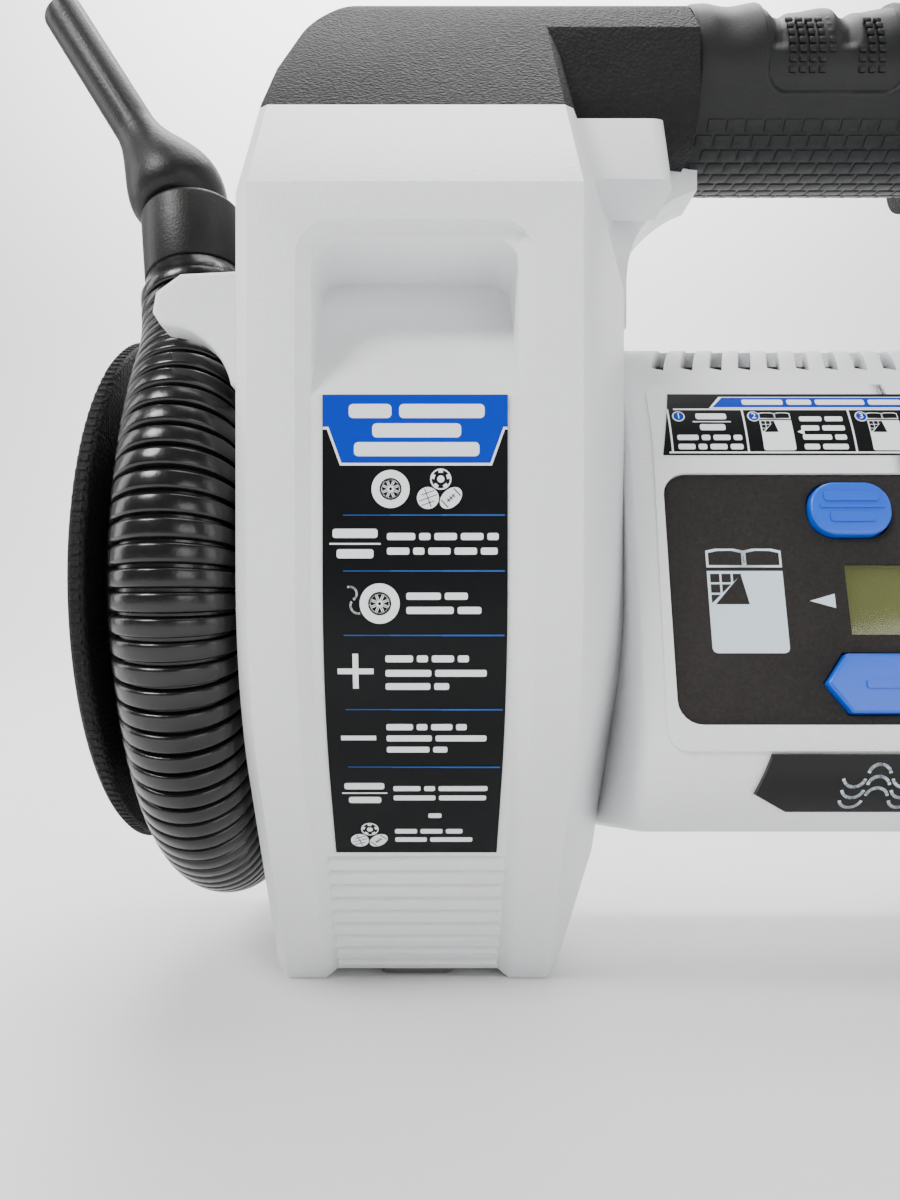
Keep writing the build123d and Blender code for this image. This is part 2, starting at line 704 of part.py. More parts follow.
nozzle_base = cuff_plane.offset(cuff_tall)
nozzle_lean = Plane(nozzle_base.origin, x_dir=(cos(radians(32)), 0, sin(radians(32))),
                    z_dir=(-sin(radians(32)), 0.08, cos(radians(32))))
nozzle_length = 61.0
nozzle_rim = 1.0
with BuildPart() as nozzle:
    with BuildSketch(nozzle_base.offset(-8)):
        Circle(7.0)
    extrude(amount=8)
    with BuildSketch(nozzle_base.offset(nozzle_rim)):
        Circle(8.5)
    with BuildSketch(nozzle_lean.offset(9)):
        Circle(10.9)
    with BuildSketch(nozzle_lean.offset(16)):
        Circle(8.4)
    with BuildSketch(nozzle_lean.offset(25)):
        Circle(5.2)
    loft()
    with BuildSketch(nozzle_base):
        Circle(8.5)
    extrude(amount=nozzle_rim)
    with BuildSketch(nozzle_lean.offset(24)):
        Circle(5.0)
    extrude(amount=nozzle_length - 24, taper=0.3)
    with BuildSketch(nozzle_lean.offset(18)):
        Circle(3.3)
    extrude(amount=nozzle_length, mode=Mode.SUBTRACT)
    with Locations(nozzle_lean.offset(nozzle_length).location * Rot(-40, 0, 0) * Pos(0, 0, 10)):
        Box(40, 60, 20, mode=Mode.SUBTRACT)
save(nozzle.part, "nozzle")

# ---- Rubber feet ----
with BuildPart() as rubber_feet:
    for x in (left_x, right_x):
        for y in (-foot_y, foot_y):
            with Locations((x, y, 0)):
                Box(*foot_size, align=(Align.CENTER, Align.CENTER, Align.MIN))
    fillet(rubber_feet.edges().filter_by(Axis.Z), 2)
save(rubber_feet.part, "rubber_feet")

# ---- Case screws ----
with BuildPart() as case_screws:
    for x, z in screw_points():
        for place in (x, 2 * body_x - x):
            add(rod_y(3.0, tower_depth - 3, tower_depth - 1, place, z))
            add(rod_y(1.2, -18, tower_depth - 3, place, z))
save(case_screws.part, "case_screws")

# ---- Pump ----
gear_module = 1.25
pinion_teeth = 12
gear_teeth = 36
pressure_angle = radians(25)
backlash = 0.24
crank_x = body_x + 18
crank_z = 104.0
motor_z = crank_z - gear_module * (pinion_teeth + gear_teeth) / 2 - 0.05
pump_y = 2.0
gear_width = 8.0


def gear_sketch(teeth, turn):
    """Involute gear outline, one tooth centred on the turn angle."""
    pitch = gear_module * teeth / 2
    base = pitch * cos(pressure_angle)
    tip = pitch + 0.8 * gear_module
    root = pitch - 1.2 * gear_module
    half_tooth = pi / (2 * teeth) - backlash / (4 * pitch)
    involute_pitch = tan(pressure_angle) - pressure_angle

    def flank(radius):
        if radius <= base:
            return half_tooth + involute_pitch
        angle = acos(base / radius)
        return half_tooth + involute_pitch - (tan(angle) - angle)

    radii = [root, max(base, root + 0.2), (max(base, root) + tip) / 2, tip]
    points = []
    for tooth in range(teeth):
        middle = turn + 2 * pi * tooth / teeth
        rising = [(radius, middle - flank(radius)) for radius in radii]
        falling = [(radius, middle + flank(radius)) for radius in reversed(radii)]
        points += [(radius * cos(angle), radius * sin(angle)) for radius, angle in rising + falling]
    with BuildSketch() as outline:
        with BuildLine():
            Polyline(*points, close=True)
        make_face()
    return outline.sketch


with BuildPart() as crank_gear:
    with BuildSketch(Plane.YZ.offset(crank_x)):
        with Locations((pump_y, crank_z)):
            add(gear_sketch(gear_teeth, -pi / 2))
    extrude(amount=gear_width)
    add(rod_x(4.0, crank_x - 13, crank_x, pump_y, crank_z))
    crank_throw = 3.0
    add(rod_x(3.0, crank_x + gear_width, crank_x + gear_width + 8, pump_y + crank_throw, crank_z))
save(crank_gear.part, "crank_gear")

with BuildPart() as motor_pinion:
    with BuildSketch(Plane.YZ.offset(crank_x)):
        with Locations((pump_y, motor_z)):
            add(gear_sketch(pinion_teeth, pi / 2 + pi / pinion_teeth))
    extrude(amount=gear_width)
    add(rod_x(1.6, crank_x - 40, crank_x, pump_y, motor_z))
save(motor_pinion.part, "motor_pinion")

frame_x = crank_x - 8
with BuildPart() as pump_frame:
    with BuildSketch(Plane.YZ.offset(frame_x - 5)):
        with Locations((pump_y, (crank_z + motor_z) / 2)):
            RectangleRounded(42, 66, 8)
        with Locations((pump_y, crank_z)):
            Circle(8, mode=Mode.SUBTRACT)
        with Locations((pump_y, motor_z)):
            Circle(4, mode=Mode.SUBTRACT)
    extrude(amount=5)
    with BuildSketch(Plane.YZ.offset(frame_x - 5)):
        with Locations((pump_y + 26, crank_z)):
            Rectangle(12, 20)
    extrude(amount=5 + 3)
save(pump_frame.part, "pump_frame")

save(rod_x(8, frame_x - 5, frame_x, pump_y, crank_z)
     - rod_x(4.05, frame_x - 6, frame_x + 1, pump_y, crank_z), "crank_bearing")
save(rod_x(17.5, frame_x - 56, frame_x - 5, pump_y, motor_z)
     - rod_x(1.65, frame_x - 40, frame_x - 4, pump_y, motor_z), "pump_motor")

rod_start = crank_x + gear_width + 1
rod_mid = rod_start + 3
pin_y = pump_y + crank_throw
with BuildPart() as connecting_rod:
    add(rod_x(6, rod_start, rod_start + 6, pin_y, crank_z))
    with Locations((rod_mid, pin_y + 15, crank_z)):
        Box(6, 24, 7)
    add(rod_x(3.05, rod_start - 1, rod_start + 9, pin_y, crank_z), mode=Mode.SUBTRACT)
save(connecting_rod.part, "connecting_rod")

piston_radius = 11.0
bore_radius = piston_radius + crank_throw + 0.4
save(rod_y(piston_radius, pin_y + 27, pin_y + 33, rod_mid, crank_z), "wobble_piston")
cylinder_start = pump_y + 24.5
cylinder_end = pump_y + 45
save(rod_y(bore_radius + 2.6, cylinder_start, cylinder_end, rod_mid, crank_z)
     - rod_y(bore_radius, cylinder_start - 1, cylinder_end + 1, rod_mid, crank_z), "pump_cylinder")
with BuildPart() as cylinder_head:
    add(rod_y(bore_radius + 2.6, cylinder_end, cylinder_end + 5, rod_mid, crank_z))
    add(rod_y(2, cylinder_end - 1, cylinder_end + 6, rod_mid, crank_z), mode=Mode.SUBTRACT)
save(cylinder_head.part, "cylinder_head")

save(rod_y(6.0, 52, body_back + 4, outlet_x, axis_z) + rod_y(9, body_back, body_back + 3, outlet_x, axis_z)
     + rod_y(4.2, body_back + 4, body_back + 11, outlet_x, axis_z)
     - rod_y(2.5, 51, body_back + 12, outlet_x, axis_z), "outlet_fitting")
with BuildPart() as air_tube:
    with BuildLine() as air_path:
        FilletPolyline((outlet_x, 52, axis_z), (outlet_x, 38, axis_z), (outlet_x, 38, axis_z + 22),
                       (rod_mid - 26, 38, axis_z + 26), radius=5)
    air_wire = air_path.wires()[0]
    with BuildSketch(Plane(air_wire @ 0, z_dir=air_wire % 0)):
        Circle(2.6)
    sweep()
save(air_tube.part, "air_tube")
save(panel_block((12, 10), (34, 10), -14.4, -10.4), "pressure_sensor")

# ---- Battery and its dock on the right flank ----
dock_x = right_x + flank_half
pack_start = dock_x + 3.4
pack_end = dock_x + pack_reach
pack_low = 52.0
pack_high = 157.0
pack_half = 37.0
split_x = pack_start + 11.5
slot_high = 150.0
rail_low = 62.0
rail_high = 140.0


def upright(x_start, x_end, half, z_low, z_high):
    """Box centred on Y with its own X and Z limits."""
    middle = Pos((x_start + x_end) / 2, 0, (z_low + z_high) / 2)
    return middle * Box(x_end - x_start, 2 * half, z_high - z_low)


save(upright(dock_x, dock_x + 3, 34, 56, 154) + upright(dock_x + 3, dock_x + 6.6, 16, rail_low, rail_high)
     + upright(dock_x + 6.6, dock_x + 9.6, 20, rail_low, rail_high), "battery_dock")
save(upright(dock_x + 3, dock_x + 9.0, 13, rail_high, 147), "dock_terminals")

with BuildPart() as pack_shape:
    with Locations(((pack_start + pack_end) / 2, 0, (pack_low + pack_high) / 2)):
        Box(pack_end - pack_start, 2 * pack_half, pack_high - pack_low)
    fillet(pack_shape.edges().filter_by(Axis.X), 7)
    fillet(pack_shape.faces().sort_by(Axis.X)[-1].edges(), 3)
slot = (upright(pack_start - 1, dock_x + 7.0, 16.4, pack_low - 1, slot_high)
        + upright(dock_x + 6.2, dock_x + 10.0, 20.4, pack_low - 1, slot_high))
cell_room = upright(split_x - 2.2, pack_end - 2.2, pack_half - 2.2, pack_low + 2.5, pack_high - 2.5)
latch_z = 145.0
latch_travel = 2.5
latch_thick = 4.5
latch_back = latch_thick + latch_travel + 0.5
latch_room = Pos(pack_end, 0, latch_z) * Box(2 * latch_back, 24.6, 12.6)
latch_wall = Pos(pack_end - 6.1, 0, latch_z) * Box(7.8, 28, 16)
case_low = Pos(split_x, 0, 0) * Box(200, 200, 600, align=(Align.MAX, Align.CENTER, Align.CENTER))
case_high = Pos(split_x, 0, 0) * Box(200, 200, 600, align=(Align.MIN, Align.CENTER, Align.CENTER))
save((pack_shape.part - slot - cell_room) & case_low, "battery_base")
save(((pack_shape.part - (cell_room - latch_wall)) & case_high) - latch_room, "battery_cover")
save(Pos(pack_end - 0.2 - latch_thick / 2, 0, latch_z) * Box(latch_thick, 24, 12), "battery_latch")
cell_count = 4
cell_radius = 9.1
with BuildPart() as battery_cells:
    for cell in range(cell_count):
        add(rod_y(cell_radius, -32.5, 32.5, split_x + 7.2, pack_low + 13 + cell * 18.6))
save(battery_cells.part, "battery_cells")
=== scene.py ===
# %% [markdown]
# # A cordless tire inflator
# Two white towers stand side by side and carry a control body between them. A black handle runs
# across the top, a corrugated blower hose is wound round a hub on the left, and a battery sits on
# the right. We start with the frame, the fixed solids that everything else is dressed on.

# %% Load the frame
from math import cos, pi, radians, sin, sqrt

import bmesh
import bpy
from mathutils import Matrix, Vector


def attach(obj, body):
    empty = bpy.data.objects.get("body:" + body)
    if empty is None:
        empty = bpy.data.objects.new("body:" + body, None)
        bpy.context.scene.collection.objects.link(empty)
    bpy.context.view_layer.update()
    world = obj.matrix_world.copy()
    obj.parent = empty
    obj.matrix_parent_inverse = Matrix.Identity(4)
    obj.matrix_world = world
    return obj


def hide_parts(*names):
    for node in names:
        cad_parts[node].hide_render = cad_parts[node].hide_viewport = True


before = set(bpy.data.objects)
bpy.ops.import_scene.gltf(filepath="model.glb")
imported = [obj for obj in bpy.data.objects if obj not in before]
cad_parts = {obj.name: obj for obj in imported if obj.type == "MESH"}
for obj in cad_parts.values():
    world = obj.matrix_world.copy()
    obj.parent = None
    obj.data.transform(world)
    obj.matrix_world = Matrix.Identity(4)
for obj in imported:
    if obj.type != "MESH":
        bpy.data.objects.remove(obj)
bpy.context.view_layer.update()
print(len(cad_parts), "nodes in the frame")

# %% [markdown]
# ## The sizes we need
# Everything below is in millimetres, and a piece is shrunk to metres only when it is finished.
# These are the inflator's own sizes: where the left tower and the body stand, how far the panel
# leans back, and where the hose and its flange are.

# %% Sizes
MM = 0.001
left_x = -105.05
body_x = 0.95
axis_z = 97.0
panel_tilt = radians(13.2)
panel_mid = Vector((body_x, -57.08, 93.37))
panel_half = 28.25
brow_centre = (0.0, 109.0)
brow_radius = 52.0
nose_centre = (-44.06, 61.3)
nose_radius = 20.0
channel_radius = 73.0
knee = radians(35)
grip_radius = 22.5
grip_z = 231.5
hose_x = left_x - 47.8
hose_radius = 66.7
hose_diameter = 25.4
flange_x = left_x - 68.6
flange_rim = 64.95

# %% [markdown]
# ## Three surfaces to draw on
# Labels, icons and buttons lie on faces that lean and curve. Each function here takes a place
# measured along the surface, across and up, and a height above it, and gives the point in space.
# A flat drawing can then be laid on any of them.


# %% Surfaces
def on_front(across, up, height):
    """Point on the front of the body: flat panel in the middle, round brow above, round nose below."""
    normal = Vector((0, -cos(panel_tilt), sin(panel_tilt)))
    along = Vector((0, sin(panel_tilt), cos(panel_tilt)))
    if abs(up) <= panel_half:
        return panel_mid + Vector((across, 0, 0)) + along * up + normal * height
    if up > 0:
        (y, z), radius = brow_centre, brow_radius
        turn = panel_tilt + (up - panel_half) / radius
    else:
        (y, z), radius = nose_centre, nose_radius
        turn = panel_tilt + (up + panel_half) / radius
    return Vector((body_x + across, y - (radius + height) * cos(turn), z + (radius + height) * sin(turn)))


def on_tower(across, up, height):
    """Point on the channel floor of the left tower: upright above the axis, then curling back."""
    radius = channel_radius + height
    if up >= axis_z:
        return Vector((left_x + across, -radius, up))
    turn = min((axis_z - up) / channel_radius, knee)
    rest = (axis_z - up) - turn * channel_radius
    y = -radius * cos(turn) + rest * sin(turn)
    z = axis_z - radius * sin(turn) - rest * cos(turn)
    return Vector((left_x + across, y, z))


def on_grip(across, turn, height):
    """Point on the round grip, with turn measured from straight ahead towards the top."""
    radius = grip_radius + height
    return Vector((body_x + across, -radius * cos(turn), grip_z + radius * sin(turn)))


print("panel middle at", tuple(round(v, 1) for v in panel_mid))

# %% [markdown]
# ## Node groups for the finishes
# Real plastic is never one flat colour. One group makes moulded grain: a fine texture that catches
# the light, slow drifts of tone, and dust that settles in patches. It gives a colour, a roughness
# and a height, and every finish feeds it different values.


# %% Finish groups
def socket(group, name, kind, way="INPUT", value=None):
    """Add a named socket to a node group."""
    made = group.interface.new_socket(name=name, in_out=way, socket_type=kind)
    if value is not None:
        made.default_value = value
    return made


def wire(group, links):
    """Join sockets given as (from, to) pairs."""
    for start, end in links:
        group.links.new(start, end)


def make_grain_group():
    """Moulded grain: fine cells, slow drift of tone and settled dust."""
    group = bpy.data.node_groups.new("moulded grain", "ShaderNodeTree")
    socket(group, "Color", "NodeSocketColor")
    socket(group, "Drift Color", "NodeSocketColor")
    socket(group, "Roughness", "NodeSocketFloat", value=0.5)
    socket(group, "Grain Scale", "NodeSocketFloat", value=1500)
    socket(group, "Speckle", "NodeSocketFloat", value=0.2)
    socket(group, "Dust", "NodeSocketFloat", value=0.1)
    socket(group, "Color", "NodeSocketColor", "OUTPUT")
    socket(group, "Roughness", "NodeSocketFloat", "OUTPUT")
    socket(group, "Height", "NodeSocketFloat", "OUTPUT")
    new = group.nodes.new
    given, out = new("NodeGroupInput"), new("NodeGroupOutput")
    place = new("ShaderNodeTexCoord")
    cells, fine, slow = new("ShaderNodeTexVoronoi"), new("ShaderNodeTexNoise"), new("ShaderNodeTexNoise")
    fine.inputs["Detail"].default_value = 3
    slow.inputs["Scale"].default_value = 28
    slow.inputs["Detail"].default_value = 6
    slow.inputs["Roughness"].default_value = 0.62
    drift = new("ShaderNodeMix")
    drift.data_type = "RGBA"
    speck = new("ShaderNodeMix")
    speck.data_type = "RGBA"
    patch = new("ShaderNodeMapRange")
    patch.inputs["From Min"].default_value = 0.42
    patch.inputs["From Max"].default_value = 0.68
    amount, rough, height = new("ShaderNodeMath"), new("ShaderNodeMath"), new("ShaderNodeMath")
    amount.operation = "MULTIPLY"
    rough.operation = "MULTIPLY_ADD"
    height.operation = "ADD"
    spark = new("ShaderNodeMapRange")
    spark.inputs["From Min"].default_value = 0.35
    spark.inputs["From Max"].default_value = 0.7
    strength = new("ShaderNodeMath")
    strength.operation = "MULTIPLY"
    wire(group, [
        (place.outputs["Object"], cells.inputs["Vector"]),
        (place.outputs["Object"], fine.inputs["Vector"]),
        (place.outputs["Object"], slow.inputs["Vector"]),
        (given.outputs["Grain Scale"], cells.inputs["Scale"]),
        (given.outputs["Grain Scale"], fine.inputs["Scale"]),
        (slow.outputs["Fac"], patch.inputs["Value"]),
        (patch.outputs["Result"], amount.inputs[0]),
        (given.outputs["Dust"], amount.inputs[1]),
        (amount.outputs[0], drift.inputs["Factor"]),
        (given.outputs["Color"], drift.inputs["A"]),
        (given.outputs["Drift Color"], drift.inputs["B"]),
        (fine.outputs["Fac"], spark.inputs["Value"]),
        (spark.outputs["Result"], strength.inputs[0]),
        (given.outputs["Speckle"], strength.inputs[1]),
        (strength.outputs[0], speck.inputs["Factor"]),
        (drift.outputs["Result"], speck.inputs["A"]),
        (given.outputs["Drift Color"], speck.inputs["B"]),
        (speck.outputs["Result"], out.inputs["Color"]),
        (fine.outputs["Fac"], rough.inputs[0]),
        (given.outputs["Speckle"], rough.inputs[1]),
        (given.outputs["Roughness"], rough.inputs[2]),
        (rough.outputs[0], out.inputs["Roughness"]),
        (cells.outputs["Distance"], height.inputs[0]),
        (fine.outputs["Fac"], height.inputs[1]),
        (height.outputs[0], out.inputs["Height"]),
    ])
    return group


grain = make_grain_group()


def finish_like(name, color, drift, roughness, scale, speckle, dust, depth, metallic=0.0, coat=0.0,
                shine=0.5):
    """A material whose grain comes from the group: depth is the grain's height in millimetres."""
    made = bpy.data.materials.new(name)
    made.use_nodes = True
    tree = made.node_tree
    shader = tree.nodes["Principled BSDF"]
    shader.inputs["Metallic"].default_value = metallic
    shader.inputs["Specular IOR Level"].default_value = shine
    shader.inputs["Coat Weight"].default_value = coat
    shader.inputs["Coat Roughness"].default_value = 0.12
    detail = tree.nodes.new("ShaderNodeGroup")
    detail.node_tree = grain
    detail.inputs["Color"].default_value = (*color, 1)
    detail.inputs["Drift Color"].default_value = (*drift, 1)
    detail.inputs["Roughness"].default_value = roughness
    detail.inputs["Grain Scale"].default_value = scale
    detail.inputs["Speckle"].default_value = speckle
    detail.inputs["Dust"].default_value = dust
    bump = tree.nodes.new("ShaderNodeBump")
    bump.inputs["Distance"].default_value = depth * MM
    wire(tree, [
        (detail.outputs["Color"], shader.inputs["Base Color"]),
        (detail.outputs["Roughness"], shader.inputs["Roughness"]),
        (detail.outputs["Height"], bump.inputs["Height"]),
        (bump.outputs["Normal"], shader.inputs["Normal"]),
    ])
    made.diffuse_color = (*color, 1)
    return made


# %% [markdown]
# ## The finishes
# White shells have a fine sparkle, the handle a coarse spark texture, the grip is soft rubber, and
# the hose and its nozzle are glossier. Inks for the labels are finishes too.

# %% Finishes
white = finish_like("white shell", (0.80, 0.81, 0.825), (0.70, 0.71, 0.72),
                    0.34, 1500, 0.16, 0.16, 0.09, shine=0.35)
black = finish_like("black shell", (0.005, 0.005, 0.0055), (0.024, 0.024, 0.025),
                    0.5, 1150, 0.3, 0.15, 0.22, shine=0.2)
rubber = finish_like("grip rubber", (0.006, 0.0065, 0.007), (0.016, 0.016, 0.016),
                     0.42, 1700, 0.12, 0.25, 0.02, shine=0.3)
foot = finish_like("foot rubber", (0.10, 0.10, 0.10), (0.2, 0.19, 0.18), 0.7, 1300, 0.2, 0.4, 0.04)
panel_skin = finish_like("panel texture", (0.016, 0.0145, 0.0135), (0.042, 0.038, 0.035),
                         0.55, 1300, 0.34, 0.2, 0.09, shine=0.16)
blue = finish_like("blue button", (0.0, 0.085, 0.62), (0.0, 0.12, 0.70),
                   0.34, 1400, 0.08, 0.12, 0.02, coat=0.12)
hose_black = finish_like("hose plastic", (0.004, 0.004, 0.004), (0.01, 0.01, 0.01),
                         0.2, 900, 0.1, 0.2, 0.02, shine=0.45)
satin = finish_like("nozzle plastic", (0.005, 0.0047, 0.0045), (0.018, 0.017, 0.016),
                    0.36, 1500, 0.14, 0.2, 0.03, shine=0.3)
film = finish_like("label film", (0.004, 0.0045, 0.005), (0.011, 0.011, 0.012),
                   0.34, 1200, 0.06, 0.2, 0.004, shine=0.12)
gloss = finish_like("nameplate gloss", (0.003, 0.003, 0.003), (0.009, 0.009, 0.009),
                    0.18, 700, 0.04, 0.3, 0.003, shine=0.25)
steel = finish_like("zinc steel", (0.55, 0.55, 0.56), (0.38, 0.37, 0.36),
                    0.3, 900, 0.2, 0.4, 0.02, metallic=1)
brass = finish_like("turned brass", (0.72, 0.54, 0.22), (0.5, 0.36, 0.14),
                    0.28, 900, 0.2, 0.3, 0.02, metallic=1)
cast = finish_like("cast aluminium", (0.62, 0.62, 0.63), (0.42, 0.42, 0.43),
                   0.4, 900, 0.24, 0.3, 0.05, metallic=1)
gear_white = finish_like("acetal", (0.70, 0.69, 0.64), (0.6, 0.58, 0.52), 0.4, 1100, 0.1, 0.3, 0.02)
board_green = finish_like("solder mask", (0.015, 0.12, 0.05), (0.03, 0.18, 0.08), 0.3, 700, 0.2, 0.3, 0.02)
sleeve = finish_like("cell sleeve", (0.06, 0.28, 0.14), (0.1, 0.35, 0.2), 0.25, 700, 0.1, 0.3, 0.01)
silicone = finish_like("silicone tube", (0.09, 0.09, 0.09), (0.15, 0.15, 0.15), 0.5, 900, 0.2, 0.3, 0.02)
ink_white = finish_like("white ink", (0.82, 0.84, 0.86), (0.7, 0.72, 0.74), 0.4, 1500, 0.12, 0.1, 0.006)
ink_blue = finish_like("blue ink", (0.0, 0.03, 0.40), (0.0, 0.045, 0.46),
                       0.36, 1500, 0.08, 0.12, 0.006, shine=0.12)
ink_line = finish_like("dim blue ink", (0.0, 0.07, 0.3), (0.0, 0.03, 0.12), 0.4, 300, 0.3, 0.5, 0.006)
ink_grey = finish_like("pale blue ink", (0.60, 0.70, 0.78), (0.5, 0.6, 0.68), 0.45, 1500, 0.14, 0.2, 0.006)
ink_black = finish_like("black ink", (0.004, 0.0045, 0.005), (0.011, 0.011, 0.012),
                        0.36, 1500, 0.1, 0.2, 0.004, shine=0.12)
display = finish_like("olive display", (0.2, 0.205, 0.075), (0.17, 0.175, 0.06), 0.3, 2500, 0.2, 0.4, 0.01)


def clear_window():
    """Clear display window: a sheet of plastic that shows the display behind it."""
    made = bpy.data.materials.new("clear window")
    made.use_nodes = True
    tree = made.node_tree
    shader = tree.nodes["Principled BSDF"]
    shader.inputs["Transmission Weight"].default_value = 1.0
    shader.inputs["IOR"].default_value = 1.3
    shader.inputs["Base Color"].default_value = (0.86, 0.88, 0.76, 1)
    smear = tree.nodes.new("ShaderNodeTexNoise")
    smear.inputs["Scale"].default_value = 160
    faint = tree.nodes.new("ShaderNodeMapRange")
    faint.inputs["To Min"].default_value = 0.02
    faint.inputs["To Max"].default_value = 0.10
    place = tree.nodes.new("ShaderNodeTexCoord")
    wire(tree, [
        (place.outputs["Object"], smear.inputs["Vector"]),
        (smear.outputs["Fac"], faint.inputs["Value"]),
        (faint.outputs["Result"], shader.inputs["Roughness"]),
    ])
    return made


window = clear_window()
print(len(bpy.data.materials), "finishes")

# %% [markdown]
# ## Helpers for making pieces
# A piece is shaped as a bmesh in millimetres. `keep` shrinks it to metres, gives it its finishes,
# sharpens only its real corners and tells the frame which body it rides on.


# %% Piece helpers
def keep(shape, name, finishes, body="housing", crease=32, scale=MM):
    """Turn a finished bmesh into an object that rides on a body of the frame."""
    bmesh.ops.remove_doubles(shape, verts=shape.verts, dist=1e-4 if scale == MM else 1e-7)
    bmesh.ops.recalc_face_normals(shape, faces=shape.faces)
    bmesh.ops.scale(shape, vec=(scale,) * 3, verts=shape.verts)
    name = name.replace(" ", "_")
    mesh = bpy.data.meshes.new(name)
    shape.to_mesh(mesh)
    shape.free()
    for finish in finishes if isinstance(finishes, list) else [finishes]:
        mesh.materials.append(finish)
    mesh.shade_smooth()
    mesh.set_sharp_from_angle(angle=radians(crease))
    piece = bpy.data.objects.new(name, mesh)
    bpy.context.scene.collection.objects.link(piece)
    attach(piece, body)
    return piece


def eased(node, finish, width, body="housing", segments=2, corner=30):
    """Copy a frame solid and ease its edges: flat faces are joined first, then sharp edges rounded."""
    shape = bmesh.new()
    shape.from_mesh(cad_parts[node].data)
    bmesh.ops.remove_doubles(shape, verts=shape.verts, dist=2e-6)
    bmesh.ops.dissolve_limit(shape, angle_limit=radians(0.6), verts=shape.verts, edges=shape.edges)
    sharp = [edge for edge in shape.edges
             if len(edge.link_faces) == 2 and edge.calc_face_angle(0) > radians(corner)]
    bmesh.ops.bevel(shape, geom=sharp, offset=width * MM, segments=segments, profile=0.5, material=-1,
                    affect="EDGES", clamp_overlap=True)
    piece = keep(shape, node + " eased", finish, body, scale=1.0)
    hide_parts(node)
    return piece


def sheet_of(rows, columns, place, closed=False):
    """Grid of faces laid out by place(across, along), both from 0 to 1."""
    shape = bmesh.new()
    bmesh.ops.create_grid(shape, x_segments=columns, y_segments=rows, size=0.5)
    for vert in shape.verts:
        vert.co = place(vert.co.x + 0.5, vert.co.y + 0.5)
    if closed:
        bmesh.ops.remove_doubles(shape, verts=shape.verts, dist=1e-4)
    return shape


def block(shape, size, place, ease=0.0, segments=2):
    """Add a box with eased edges, put in place by a matrix."""
    made = bmesh.ops.create_cube(shape, size=1.0)["verts"]
    bmesh.ops.scale(shape, vec=size, verts=made)
    if ease:
        edges = list({edge for vert in made for edge in vert.link_edges})
        made = bmesh.ops.bevel(shape, geom=edges, offset=ease, segments=segments, profile=0.5, material=-1,
                               affect="EDGES")["verts"]
    bmesh.ops.transform(shape, matrix=place, verts=made)
    return made


